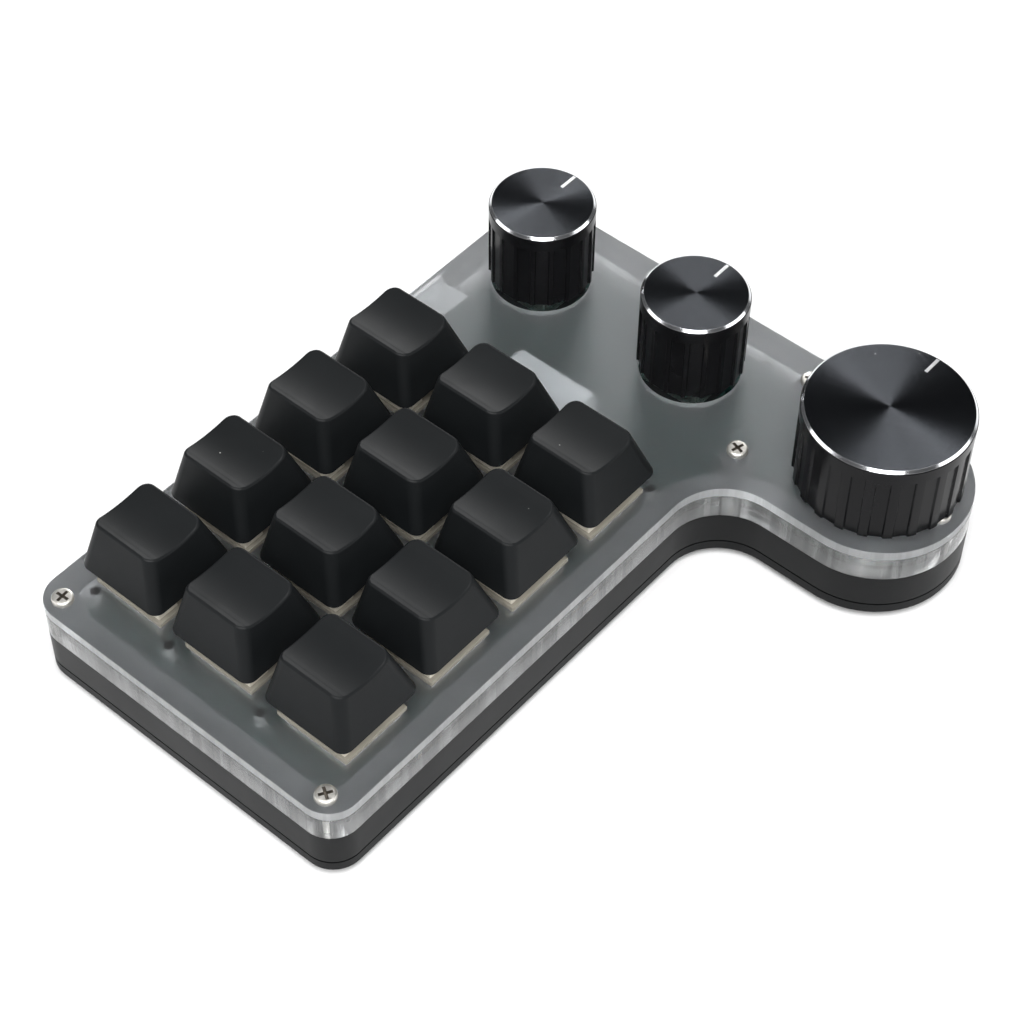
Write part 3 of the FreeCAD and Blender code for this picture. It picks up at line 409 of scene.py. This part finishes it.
def knob_finish(name, centre, face_radius, top):
    """Black anodising, a spun face and a bare cut edge around it."""
    material, tree, shader = new_finish(name, KNOB_BLACK, KNOB_SIDE_ROUGHNESS, gloss=0.12)
    rings = use_group(tree, RINGS, Centre=(centre.x, centre.y, 0.0), Pitch=RING_PITCH,
                      Tilt=RING_TILT)
    place = tree.nodes.new("ShaderNodeSeparateXYZ")
    join(tree, object_coordinates(tree), place.inputs[0])
    height = maths(tree, "DIVIDE", maths(tree, "SUBTRACT", place.outputs[2], top), MM)
    beyond_face = stretch(tree, rings.outputs["Radius"], face_radius - 0.02, face_radius + 0.02)
    above_step = stretch(tree, height, BARE_EDGE_LOW, BARE_EDGE_HIGH)
    bare = maths(tree, "MULTIPLY", above_step, beyond_face)
    at_top = stretch(tree, height, -0.03, -0.01)
    face = maths(tree, "MULTIPLY", at_top, maths(tree, "SUBTRACT", 1.0, bare))
    marks = use_group(tree, MARKS, Dust=0.7, Smears=0.05)
    texture = use_group(tree, GRAIN, Grain_size=0.12)
    tint = blend_colours(tree, texture.outputs["Shade"], KNOB_SHADE, (*KNOB_BLACK, 1.0))
    spun = blend_colours(tree, face, tint, KNOB_FACE_COLOUR)
    dusty = blend_colours(tree, marks.outputs["Dust mask"], spun, DUST_COLOUR)
    join(tree, blend_colours(tree, bare, dusty, BARE_METAL), shader.inputs["Base Color"])
    join(tree, maths(tree, "MAXIMUM", bare, face), shader.inputs["Metallic"])
    side_rough = maths(tree, "ADD", marks.outputs["Smear"], KNOB_SIDE_ROUGHNESS)
    face_rough = stretch(tree, face, 0.0, 1.0, 0.0, KNOB_FACE_ROUGHNESS)
    coated = maths(tree, "MAXIMUM", side_rough, face_rough)
    join(tree, stretch(tree, bare, 0.0, 1.0, coated, BARE_ROUGHNESS), shader.inputs["Roughness"])
    plain = tree.nodes.new("ShaderNodeNewGeometry").outputs["Normal"]
    grooved = tree.nodes.new("ShaderNodeMix")
    grooved.data_type = "VECTOR"
    for identifier, source in (("Factor_Float", face), ("A_Vector", plain),
                               ("B_Vector", rings.outputs["Normal"])):
        socket = [item for item in grooved.inputs if item.identifier == identifier][0]
        join(tree, source, socket)
    mixed = [item for item in grooved.outputs if item.identifier == "Result_Vector"][0]
    join(tree, mixed, shader.inputs["Normal"])
    return material


def board_finish():
    """Dark teal solder mask with copper showing as slightly lighter tracks."""
    material, tree, shader = new_finish("board solder mask", (0.012, 0.03, 0.028), 0.3)
    where = object_coordinates(tree)
    tracks = add(tree, "ShaderNodeTexBrick", Scale=TRACK_SCALE, Mortar_Size=0.08,
                 Color1=(0.008, 0.018, 0.018, 1.0), Color2=(0.010, 0.024, 0.023, 1.0),
                 Mortar=(0.016, 0.050, 0.044, 1.0))
    tracks.offset = 0.5
    join(tree, where, tracks.inputs["Vector"])
    join(tree, tracks.outputs["Color"], shader.inputs["Base Color"])
    rough = stretch(tree, noise(tree, where, MASK_SCALE, 3.0), 0.3, 0.7, 0.22, 0.4)
    join(tree, rough, shader.inputs["Roughness"])
    bump(tree, shader, tracks.outputs["Fac"], 0.03)
    return material


FINISHES = {
    "cover": plastic("black cover plastic", (0.0068, 0.0073, 0.0078), 0.44,
                     grain=0.5, depth=0.012, dust=0.4, smears=0.08, gloss=0.14),
    "frame": plastic("black frame plastic", (0.0068, 0.0073, 0.0078), 0.38,
                     grain=0.5, depth=0.010, dust=0.4, smears=0.08, gloss=0.14),
    "clear_ring": sheet_acrylic("clear acrylic", (0.94, 0.96, 0.97), 0.93, 0.05, 0.03,
                                mark_depth=0.05, spacing=0.5, gloss=0.5),
    # The edge finishes darken their colour in painted shade bands along the cut ripples.
    "clear_edge": sheet_acrylic("clear acrylic edge", (0.97, 0.98, 0.98), 0.88, 0.05, 0.04,
                                mark_depth=0.16, spacing=0.8, gloss=0.5, edge_streak_shade=0.42),
    "plate": sheet_acrylic("frosted acrylic", (0.80, 0.82, 0.84), 0.978, 0.42, 0.30,
                           mark_depth=0.03, spacing=0.6, gloss=0.25),
    "plate_edge": sheet_acrylic("frosted acrylic edge", (0.92, 0.94, 0.95), 0.74, 0.35, 0.35,
                                mark_depth=0.02, spacing=0.6, gloss=0.5, edge_streak_shade=0.85),
    "marker": metal("bare marker line", (0.90, 0.90, 0.91), 0.35, depth=0.003),
    "board": board_finish(),
    "brass": metal("turned brass", (0.72, 0.53, 0.26), 0.25),
    "white_nylon": plastic("white nylon", (0.80, 0.80, 0.78), 0.4, depth=0.006),
    "feet": plastic("foot rubber", (0.035, 0.035, 0.036), 0.75, grain=0.4, depth=0.02),
    "screws": metal("nickel plate", (0.86, 0.835, 0.78), 0.44),
    # The recess finish is painted shade: a darker metal that stands in for the shade inside each
    # cross recess.
    "recess": metal("screw recess painted shade", (0.26, 0.235, 0.20), 0.5),
    "socket_shell": metal("drawn steel", (0.86, 0.86, 0.85), 0.42),
    "module_can": plastic("pale shield", (0.97, 0.98, 0.97), 0.45, depth=0.004),
    "diodes": plastic("diode case", (0.02, 0.02, 0.02), 0.35),
    "switch_base": plastic("cream switch plastic", (0.46, 0.43, 0.36), 0.42,
                           grain=0.25, depth=0.006),
    "switch_top": plastic("milky switch plastic", (0.84, 0.79, 0.68), 0.36,
                          grain=0.25, depth=0.006),
    "spring": metal("spring wire", (0.62, 0.62, 0.62), 0.25),
    "contact": metal("contact bronze", (0.80, 0.58, 0.30), 0.22),
    "keycap": plastic("black keycap plastic", (0.0068, 0.0080, 0.0088), 0.46,
                      grain=0.22, depth=0.008, dust=0.8, smears=0.10, gloss=0.20),
    "stem": plastic("brown stem plastic", (0.20, 0.09, 0.04), 0.35, grain=0.25, depth=0.005),
    "encoder_base": plastic("encoder base plastic", (0.03, 0.03, 0.03), 0.4),
    "encoder_metal": metal("plated encoder steel", (0.62, 0.62, 0.60), 0.28),
    "rotor": plastic("detent wheel plastic", (0.72, 0.70, 0.64), 0.35),
    "grub": metal("blackened steel", (0.10, 0.10, 0.10), 0.35),
}


# Shapes

def node_mesh(name):
    """A merged copy of a solid's mesh, with its flat faces made whole."""
    shape = bmesh.new()
    shape.from_mesh(frame["nodes"][name].data)
    bmesh.ops.remove_doubles(shape, verts=shape.verts, dist=1e-6)
    bmesh.ops.dissolve_limit(shape, angle_limit=math.radians(0.4), verts=shape.verts,
                             edges=shape.edges, delimit={"NORMAL"})
    return shape


def finish_piece(name, shape, body, finish, smooth_angle=35.0):
    """Makes a piece of a mesh, rides it on its body and gives it its finish."""
    for face in shape.faces:
        face.smooth = True
    for edge in shape.edges:
        if len(edge.link_faces) == 2:
            edge.smooth = edge.calc_face_angle(0.0) < math.radians(smooth_angle)
    mesh = bpy.data.meshes.new(name)
    shape.to_mesh(mesh)
    shape.free()
    piece = bpy.data.objects.new(name, mesh)
    bpy.context.scene.collection.objects.link(piece)
    mesh.materials.append(finish)
    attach(piece, body)
    return piece


def middle_of(name):
    """Middle of a solid's box."""
    low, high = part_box(name)
    return (low + high) / 2


def body_of_node(name):
    """The moving body that a solid belongs to."""
    for body, members in frame["record"]["behaviour"]["bodies"].items():
        if name in members:
            return body


def slot_of_node(name):
    """The material slot that the record gives to a solid."""
    for row in frame["record"]["subparts"]:
        if row["node"] == name:
            return row["material_slot"]


def bevel(shape, edges, offset, segments):
    """Bevels edges of a shape. offset is in millimetres."""
    bmesh.ops.bevel(shape, geom=edges, offset=offset * MM, offset_type="OFFSET", affect="EDGES",
                    segments=segments, profile=0.5, material=-1)


def cut(shape, spot, axis, geometry=None, near=1e-6):
    """Cuts the faces of a shape, or those in geometry, along a plane."""
    geometry = geometry or shape.verts[:] + shape.edges[:] + shape.faces[:]
    bmesh.ops.bisect_plane(shape, geom=geometry, plane_co=spot, plane_no=axis, dist=near)


def upright_edges(shape, tall):
    """Edges that climb by more than a height in metres."""
    return [edge for edge in shape.edges if abs(edge.verts[0].co.z - edge.verts[1].co.z) > tall]


def soften(name, radius, segments=2, finish=None, angle=30.0, shape=None, keep_sharp=None):
    """A solid with its sharp edges rounded, which stands for that solid.

    keep_sharp tells of a spot whether the edges there stay sharp.
    """
    slot = slot_of_node(name)
    shape = shape or node_mesh(name)
    weight = shape.edges.layers.float.new("bevel_weight_edge")
    for edge in shape.edges:
        middle = (edge.verts[0].co + edge.verts[1].co) / 2
        stays = keep_sharp is not None and keep_sharp(middle)
        edge[weight] = 0.0 if stays or edge.calc_face_angle(0.0) < math.radians(angle) else 1.0
    finish = finish or FINISHES[slot]
    piece = finish_piece(name + "_shown", shape, body_of_node(name), finish)
    edges = piece.modifiers.new("rounded edges", "BEVEL")
    edges.width = radius * MM
    edges.segments = segments
    edges.limit_method = "WEIGHT"
    edges.use_clamp_overlap = True
    edges.harden_normals = True
    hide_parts(name)
    return piece


def solids_of(name):
    """Box of each separate solid of a node, from front to back."""
    shape = node_mesh(name)
    waiting = set(shape.verts)
    boxes = []
    while waiting:
        queue, reached = [waiting.pop()], []
        while queue:
            vert = queue.pop()
            reached.append(vert.co.copy())
            for edge in vert.link_edges:
                other = edge.other_vert(vert)
                if other in waiting:
                    waiting.remove(other)
                    queue.append(other)
        low = Vector([min(spot[axis] for spot in reached) for axis in range(3)])
        high = Vector([max(spot[axis] for spot in reached) for axis in range(3)])
        boxes.append((low, high))
    shape.free()
    return sorted(boxes, key=lambda box: (round(box[0].y, 5), round(box[0].x, 5)))


def put_in(shape, part, place):
    """Adds a part to a shape at a place and frees it."""
    bmesh.ops.transform(part, matrix=place, verts=part.verts)
    carrier = bpy.data.meshes.new("carrier")
    part.to_mesh(carrier)
    part.free()
    shape.from_mesh(carrier)
    bpy.data.meshes.remove(carrier)


def turned(profile, steps):
    """A closed solid turned about the Z axis. profile is (radius, height) in millimetres."""
    part = bmesh.new()
    verts = [part.verts.new((radius * MM, 0.0, height * MM)) for radius, height in profile]
    edges = [part.edges.new(pair) for pair in zip(verts, verts[1:])]
    bmesh.ops.spin(part, geom=verts + edges, cent=(0, 0, 0), axis=(0, 0, 1), angle=math.tau,
                   steps=steps, use_merge=True)
    bmesh.ops.remove_doubles(part, verts=part.verts, dist=1e-7)
    bmesh.ops.recalc_face_normals(part, faces=part.faces)
    return part


def helix(section, pitch, turns, steps):
    """Sweeps a closed section around the Z axis while it climbs.

    section is (radius, height) in millimetres, and steps are counted for each turn.
    """
    part = bmesh.new()
    verts = [part.verts.new((radius * MM, 0.0, height * MM)) for radius, height in section]
    edges = [part.edges.new(pair) for pair in zip(verts, verts[1:] + verts[:1])]
    count = round(turns * steps)
    swept = bmesh.ops.spin(part, geom=verts + edges, cent=(0, 0, 0), axis=(0, 0, 1),
                           dvec=(0, 0, pitch * MM / steps), angle=math.tau * turns, steps=count)
    last = [item for item in swept["geom_last"] if isinstance(item, bmesh.types.BMEdge)]
    bmesh.ops.contextual_create(part, geom=edges)
    bmesh.ops.contextual_create(part, geom=last)
    bmesh.ops.recalc_face_normals(part, faces=part.faces)
    return part


def cross_recess(head):
    """Sinks a plus shaped recess with sloping walls into the top of a screw's head, and gives its
    walls and floor material 1, a painted shade.
    """
    for reach in (-RECESS_REACH, -RECESS_ARM, RECESS_ARM, RECESS_REACH):
        for axis in (Vector((1, 0, 0)), Vector((0, 1, 0))):
            cut(head, axis * reach * MM, axis, near=1e-8)
    sunk = []
    for face in head.faces:
        middle = face.calc_center_median() / MM
        wide = max(abs(middle.x), abs(middle.y))
        narrow = min(abs(middle.x), abs(middle.y))
        if face.normal.z > 0.3 and wide < RECESS_REACH and narrow < RECESS_ARM:
            sunk.append(face)
    moved = bmesh.ops.extrude_face_region(head, geom=sunk)["geom"]
    for item in moved:
        if isinstance(item, bmesh.types.BMVert):
            x, y = item.co.x * RECESS_TAPER, item.co.y * RECESS_TAPER
            item.co = Vector((x, y, RECESS_FLOOR * MM))
    bmesh.ops.delete(head, geom=[face for face in sunk if face.is_valid], context="FACES_ONLY")
    # Painted shade: the recess walls and floor take the darker second material.
    for face in head.faces:
        middle = face.calc_center_median() / MM
        inside = math.hypot(middle.x, middle.y) < RECESS_REACH
        if inside and RECESS_FLOOR / 2 < middle.z < HEAD_TALL - 0.02:
            face.material_index = 1


def pan_head_screw(length):
    """Screw with a domed head, a cross recess and a thread. Its seat is at height 0."""
    shape = bmesh.new()
    head = turned(PAN_HEAD, HEAD_STEPS)
    cross_recess(head)
    put_in(shape, head, Matrix())
    core = bmesh.new()
    bmesh.ops.create_cone(core, cap_ends=True, segments=16, radius1=SCREW_TIP * MM,
                          radius2=SCREW_CORE * MM, depth=length * MM)
    put_in(shape, core, Matrix.Translation((0, 0, -length / 2 * MM)))
    turns = (length - 1.0) / SCREW_PITCH
    base, root = 0.6 - length, SCREW_CORE - 0.06
    ridge = [(root, base - RIDGE_HALF), (SCREW_ROUND, base), (root, base + RIDGE_HALF)]
    put_in(shape, helix(ridge, SCREW_PITCH, turns, 12), Matrix())
    return shape


def even_shading(piece):
    """Lets large faces shade flat beside the small round ones next to them."""
    weighted = piece.modifiers.new("face weighted normals", "WEIGHTED_NORMAL")
    weighted.keep_sharp = True


def build_screws(node, length, downwards):
    """All the screws of one kind, each turned to its own angle."""
    shape = bmesh.new()
    for index, (low, high) in enumerate(solids_of(node)):
        seat = high.z - HEAD_TALL * MM if downwards else low.z + HEAD_TALL * MM
        spot = Vector(((low.x + high.x) / 2, (low.y + high.y) / 2, seat))
        flip = 0.0 if downwards else math.pi
        turn = Matrix.Rotation(flip, 4, "X") @ Matrix.Rotation(SCREW_TURN * (index + 1), 4, "Z")
        put_in(shape, pan_head_screw(length), Matrix.Translation(spot) @ turn)
    piece = finish_piece(node + "_shown", shape, "case", FINISHES["screws"], 32.0)
    # The second material paints shade into the cross recesses.
    piece.data.materials.append(FINISHES["recess"])
    even_shading(piece)
    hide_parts(node)


def build_springs():
    """A coil spring for each key."""
    wire = [math.tau * step / 8 for step in range(8)]
    section = [(SPRING_ROUND + SPRING_WIRE * math.cos(turn), SPRING_WIRE * math.sin(turn))
               for turn in wire]
    for low, high in solids_of("switch_springs"):
        spot = Vector(((low.x + high.x) / 2, (low.y + high.y) / 2, low.z + SPRING_WIRE * MM))
        key = min(KEYS, key=lambda name: (middle_of("keycap_" + name) - spot).xy.length)
        tall = (high.z - low.z) / MM
        pitch = (tall - SPRING_WIRE * 2) / SPRING_TURNS
        shape = bmesh.new()
        put_in(shape, helix(section, pitch, SPRING_TURNS, 18), Matrix.Translation(spot))
        piece = finish_piece("spring_" + key, shape, "case", FINISHES["spring"], 60.0)
        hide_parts("switch_springs")
        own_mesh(piece)


def build_feet():
    """Round feet with a soft lower rim."""
    shape = bmesh.new()
    for low, high in solids_of("rubber_feet"):
        spot = Vector(((low.x + high.x) / 2, (low.y + high.y) / 2, low.z))
        put_in(shape, turned(FOOT_PROFILE, FOOT_STEPS), Matrix.Translation(spot))
    piece = finish_piece("rubber_feet_shown", shape, "case", FINISHES["feet"], 50.0)
    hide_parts("rubber_feet")


def build_module_pad():
    """White pad on the controller module that fills the gap up to the plate."""
    low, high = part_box("controller_module")
    under_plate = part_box("top_plate")[0].z
    shape = bmesh.new()
    bmesh.ops.create_cube(shape, size=1.0)
    tall = under_plate - high.z - MODULE_PAD_GAP * MM
    size = Vector((high.x - low.x - MM, high.y - low.y - MM, tall))
    bmesh.ops.scale(shape, vec=size, verts=shape.verts)
    bevel(shape, upright_edges(shape, size.z / 2), MODULE_PAD_CORNER, 4)
    middle = (low + high) / 2
    middle.z = high.z + size.z / 2
    bmesh.ops.translate(shape, vec=middle, verts=shape.verts)
    finish_piece("module_pad", shape, "case", FINISHES["module_can"])


def build_socket_contacts():
    """Gold pads on both sides of the tongue inside the socket."""
    middle = middle_of("usb_socket")
    size = Matrix.Diagonal((*(side * MM for side in SOCKET_PAD_SIZE), 1.0))
    shape = bmesh.new()
    for side in (-1, 1):
        for step in range(SOCKET_PADS):
            pad = bmesh.new()
            bmesh.ops.create_cube(pad, size=1.0)
            across = (step - (SOCKET_PADS - 1) / 2) * SOCKET_PAD_PITCH
            spot = middle + Vector((across, SOCKET_PAD_BACK, SOCKET_PAD_RISE * side)) * MM
            put_in(shape, pad, Matrix.Translation(spot) @ size)
    finish_piece("socket_contacts", shape, "case", FINISHES["contact"])


def dress_solids():
    """Gives every solid its finish, also those that keep their own mesh in the scene."""
    for name, item in frame["nodes"].items():
        slot = slot_of_node(name)
        if slot in FINISHES:
            item.data.materials.clear()
            item.data.materials.append(FINISHES[slot])


def outer_band(shape, low, high):
    """Cuts the outer wall at two heights and gives the faces between them."""
    for level in (low, high):
        cut(shape, (0, 0, level * MM), (0, 0, 1))
    band = [face for face in shape.faces
            if abs(face.normal.z) < 0.3 and low < face.calc_center_median().z / MM < high]
    first = min(band, key=lambda face: face.calc_center_median().x)
    found, waiting = {first}, [first]
    while waiting:
        for edge in waiting.pop().edges:
            for face in edge.link_faces:
                if face in band and face not in found:
                    found.add(face)
                    waiting.append(face)
    return list(found)


def build_frame():
    """The frame, with a fine shadow gap above the seam where the cover meets it."""
    shape = node_mesh("case_frame")
    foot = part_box("case_frame")[0].z / MM
    band = outer_band(shape, foot + 0.001, foot + SEAM_TALL)
    bmesh.ops.inset_region(shape, faces=band, thickness=0.03 * MM, depth=-SEAM_DEEP * MM,
                           use_even_offset=True)
    soften("case_frame", ROUNDING["case_frame"], shape=shape)


def give_edges(piece, finish):
    """Gives the upright edges of a sheet a finish of their own."""
    piece.data.materials.append(finish)
    for face in piece.data.polygons:
        if abs(face.normal.z) < 0.5:
            face.material_index = 1


def build_clear_ring():
    """The clear ring, with a hair of air between it and the sheets above and below."""
    shape = node_mesh("clear_spacer")
    low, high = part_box("clear_spacer")
    for vert in shape.verts:
        vert.co.z += AIR_GAP * MM if vert.co.z < (low.z + high.z) / 2 else -AIR_GAP * MM
    piece = soften("clear_spacer", ROUNDING["clear_spacer"], shape=shape)
    give_edges(piece, FINISHES["clear_edge"])


def dress_case():
    """The case with its sheets, screws, feet, socket and controller module."""
    soften("bottom_cover", ROUNDING["bottom_cover"], 3)
    build_frame()
    build_clear_ring()
    give_edges(soften("top_plate", ROUNDING["top_plate"]), FINISHES["plate_edge"])
    soften("usb_socket", ROUNDING["usb_socket"])
    soften("controller_module", ROUNDING["controller_module"])
    build_screws("top_screws", TOP_SCREW_LONG, True)
    build_screws("bottom_screws", BOTTOM_SCREW_LONG, False)
    build_feet()
    build_socket_contacts()
    build_module_pad()


def cap_outside():
    """The outer form of a keycap, standing on height 0, with a dish across its top."""
    cap = bmesh.new()
    bmesh.ops.create_cube(cap, size=1.0)
    bmesh.ops.scale(cap, vec=(CAP_BASE * MM, CAP_BASE * MM, CAP_TALL * MM), verts=cap.verts)
    bmesh.ops.translate(cap, vec=(0, 0, CAP_TALL / 2 * MM), verts=cap.verts)
    upper = [vert for vert in cap.verts if vert.co.z > MM]
    bmesh.ops.scale(cap, vec=(CAP_TOP_X / CAP_BASE, CAP_TOP_Y / CAP_BASE, 1.0), verts=upper)
    bmesh.ops.translate(cap, vec=(0, CAP_SHIFT * MM, 0), verts=upper)
    bevel(cap, upright_edges(cap, MM), CAP_CORNER, CAP_CORNER_STEPS)
    bmesh.ops.recalc_face_normals(cap, faces=cap.faces)
    for step in range(1 - CAP_STRIPS // 2, CAP_STRIPS // 2):
        top = [face for face in cap.faces if face.normal.z > 0.9]
        geometry = set(top)
        for face in top:
            geometry.update(face.verts)
            geometry.update(face.edges)
        spot = (step * CAP_TOP_X / CAP_STRIPS * MM, 0, 0)
        cut(cap, spot, (1, 0, 0), list(geometry), near=1e-7)
    bend = (CAP_TOP_X ** 2 / 4 + CAP_DISH ** 2) / (2 * CAP_DISH)
    for vert in cap.verts:
        if vert.co.z > MM:
            across = min(abs(vert.co.x) / MM, CAP_TOP_X / 2)
            drop = math.sqrt(bend ** 2 - across ** 2) - (bend - CAP_DISH)
            lean = CAP_FRONT_LEAN if vert.co.y < CAP_SHIFT * MM else -CAP_BACK_LEAN
            reach = abs(vert.co.y / MM - CAP_SHIFT) / (CAP_TOP_Y / 2)
            vert.co += Vector((0, -lean * drop * reach, -drop)) * MM
    under_rim = (CAP_TALL - CAP_DISH - 0.3) * MM
    rim = [edge for edge in cap.edges
           if len(edge.link_faces) == 2 and min(vert.co.z for vert in edge.verts) > under_rim
           and edge.calc_face_angle(0.0) > math.radians(25)]
    bevel(cap, rim, CAP_RIM, 3)
    return cap


def hollow_cap(cap):
    """Rounds the foot of the skirt and opens the cap from below."""
    floor = [face for face in cap.faces if face.normal.z < -0.9]
    foot = set()
    for face in floor:
        foot.update(face.edges)
    bevel(cap, list(foot), CAP_FOOT, 2)
    floor = [face for face in cap.faces if face.normal.z < -0.99]
    bmesh.ops.inset_region(cap, faces=floor, thickness=(CAP_WALL - CAP_FOOT) * MM,
                           use_even_offset=True)
    raised = bmesh.ops.extrude_face_region(cap, geom=floor)["geom"]
    bmesh.ops.delete(cap, geom=floor, context="FACES_ONLY")
    roof = [item for item in raised if isinstance(item, bmesh.types.BMVert)]
    narrow = (CAP_TOP_X - CAP_WALL) / (CAP_BASE - 2 * CAP_WALL)
    short = (CAP_TOP_Y - CAP_WALL) / (CAP_BASE - 2 * CAP_WALL)
    bmesh.ops.scale(cap, vec=(narrow, short, 1.0), verts=roof)
    bmesh.ops.translate(cap, vec=(0, CAP_SHIFT * 0.8 * MM, CAP_CEILING * MM), verts=roof)
    bmesh.ops.recalc_face_normals(cap, faces=cap.faces)


def cross_socket(name, middle, low):
    """The socket inside a keycap, taken from its solid and closed at both ends."""
    socket = node_mesh(name)
    away = [face for face in socket.faces
            if max((vert.co - middle).xy.length for vert in face.verts) > CAP_SOCKET_REACH * MM]
    bmesh.ops.delete(socket, geom=away, context="FACES")
    ends = [edge for edge in socket.edges if len(edge.link_faces) == 1]
    bmesh.ops.contextual_create(socket, geom=ends)
    bmesh.ops.translate(socket, vec=(-middle.x, -middle.y, -low), verts=socket.verts)
    bmesh.ops.recalc_face_normals(socket, faces=socket.faces)
    return socket


def build_keycap(key):
    """A keycap with round upright corners, a soft rim round its dish and a hollow skirt."""
    name = "keycap_" + key
    low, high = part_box(name)
    middle = Vector(((low.x + high.x) / 2, (low.y + high.y) / 2, low.z))
    shape = cap_outside()
    hollow_cap(shape)
    put_in(shape, cross_socket(name, middle, low.z), Matrix())
    bmesh.ops.translate(shape, vec=middle, verts=shape.verts)
    piece = finish_piece(name + "_shown", shape, body_of_node(name),
                         FINISHES["keycap"], 50.0)
    even_shading(piece)
    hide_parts(name)


def dress_keys():
    """The twelve keys and their switches."""
    for key in KEYS:
        build_keycap(key)
    soften("switch_bases", ROUNDING["switch_bases"], 1)
    soften("switch_tops", ROUNDING["switch_tops"], 2)
    build_springs()


def dress_knobs():
    """The three knobs, each with a finish centred on its own axis."""
    for knob in KNOBS:
        name = "knob_" + knob
        low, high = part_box(name)
        axis = (low + high) / 2
        face_radius = (high.x - low.x) / 2 / MM - FACE_EDGE
        finish = knob_finish("anodised knob " + knob, axis, face_radius, high.z)
        inside, floor = (face_radius - 0.05) * MM, high.z - GROOVE_DEEP * MM

        def in_groove(spot):
            return spot.z > floor and (spot - axis).xy.length < inside

        soften(name, ROUNDING["knob"], 2, finish, angle=25.0, keep_sharp=in_groove)
        build_marker(knob, axis, face_radius, high.z)


def build_marker(knob, centre, face_radius, top):
    """The bright line inlaid in the groove of a knob's face."""
    shape = bmesh.new()
    bmesh.ops.create_cube(shape, size=1.0)
    size = Vector((MARKER_LONG, MARKER_WIDE, MARKER_TALL)) * MM
    bmesh.ops.scale(shape, vec=size, verts=shape.verts)
    bevel(shape, shape.edges[:], 0.03, 1)
    reach = face_radius - MARKER_INSET - MARKER_LONG / 2
    spot = (centre.x + reach * MM, centre.y, top - MARKER_MIDDLE * MM)
    bmesh.ops.translate(shape, vec=spot, verts=shape.verts)
    body = body_of_node("knob_" + knob)
    finish_piece("knob_marker_" + knob, shape, body, FINISHES["marker"])


# Studio

# Camera place, target (in millimetres), roll and lens, as solved from the photograph
CAMERA_PLACE = (-210.56, -172.61, 345.35)
CAMERA_TARGET = (1.30, 5.52, 17.40)
CAMERA_ROLL = math.radians(0.618)
CAMERA_SENSOR, CAMERA_LENS = 36.0, 89.05

# Name, place, target, width and depth in metres, power in watts
SOFTBOXES = [
    ("overhead softbox", (-0.42, -0.355, 1.16), (0.0, 0.0, 0.0), 0.8, 1.4, 26.5),
    ("back softbox", (0.956, 0.621, 0.55), (0.05, 0.05, 0.0), 0.5, 0.36, 6.0),
    ("left softbox", (-0.81, 0.78, 0.42), (0.0, 0.0, 0.0), 0.9, 0.5, 3.0),
    ("right softbox", (0.62, -0.94, 0.42), (0.0, 0.0, 0.0), 0.9, 0.5, 3.0),
]
FLOOR_SHADE = 0.86
FLOOR_HALF = 4.0
SKY_COLOUR, SKY_STRENGTH = (0.75, 0.76, 0.78, 1.0), 0.10


def looking(place, target):
    """Turns something that looks down its own -Z axis from a place towards a target."""
    turn = (target - place).to_track_quat("-Z", "Y").to_matrix().to_4x4()
    return Matrix.Translation(place) @ turn


def build_camera():
    """Camera at the photograph's angle."""
    data = bpy.data.cameras.new("camera")
    data.sensor_width = CAMERA_SENSOR
    data.lens = CAMERA_LENS
    data.clip_start = 0.01
    data.clip_end = 20.0
    camera = bpy.data.objects.new("camera", data)
    view = looking(Vector(CAMERA_PLACE) * MM, Vector(CAMERA_TARGET) * MM)
    camera.matrix_world = view @ Matrix.Rotation(CAMERA_ROLL, 4, "Z")
    bpy.context.scene.collection.objects.link(camera)
    bpy.context.scene.camera = camera


def soft_light(name, place, target, width, depth, power):
    """A rectangular soft light that points at a target."""
    data = bpy.data.lights.new(name, "AREA")
    data.shape = "RECTANGLE"
    data.size, data.size_y = width, depth
    data.energy = power
    lamp = bpy.data.objects.new(name, data)
    lamp.matrix_world = looking(Vector(place), Vector(target))
    bpy.context.scene.collection.objects.link(lamp)


def build_studio():
    """Pale floor, four soft lights and a dim grey surrounding."""
    floor_material = new_finish("pale floor", (FLOOR_SHADE,) * 3, 0.9, gloss=0.1)[0]
    shape = bmesh.new()
    bmesh.ops.create_grid(shape, x_segments=1, y_segments=1, size=FLOOR_HALF)
    mesh = bpy.data.meshes.new("floor")
    shape.to_mesh(mesh)
    shape.free()
    floor = bpy.data.objects.new("floor", mesh)
    bpy.context.scene.collection.objects.link(floor)
    mesh.materials.append(floor_material)
    for softbox in SOFTBOXES:
        soft_light(*softbox)
    world = bpy.data.worlds.new("studio")
    world.use_nodes = True
    background = world.node_tree.nodes["Background"]
    background.inputs["Color"].default_value = SKY_COLOUR
    background.inputs["Strength"].default_value = SKY_STRENGTH
    bpy.context.scene.world = world
    bpy.context.scene.view_settings.view_transform = "Standard"
    bpy.context.scene.view_settings.look = "None"


dress_solids()
dress_case()
dress_keys()
dress_knobs()
build_camera()
build_studio()
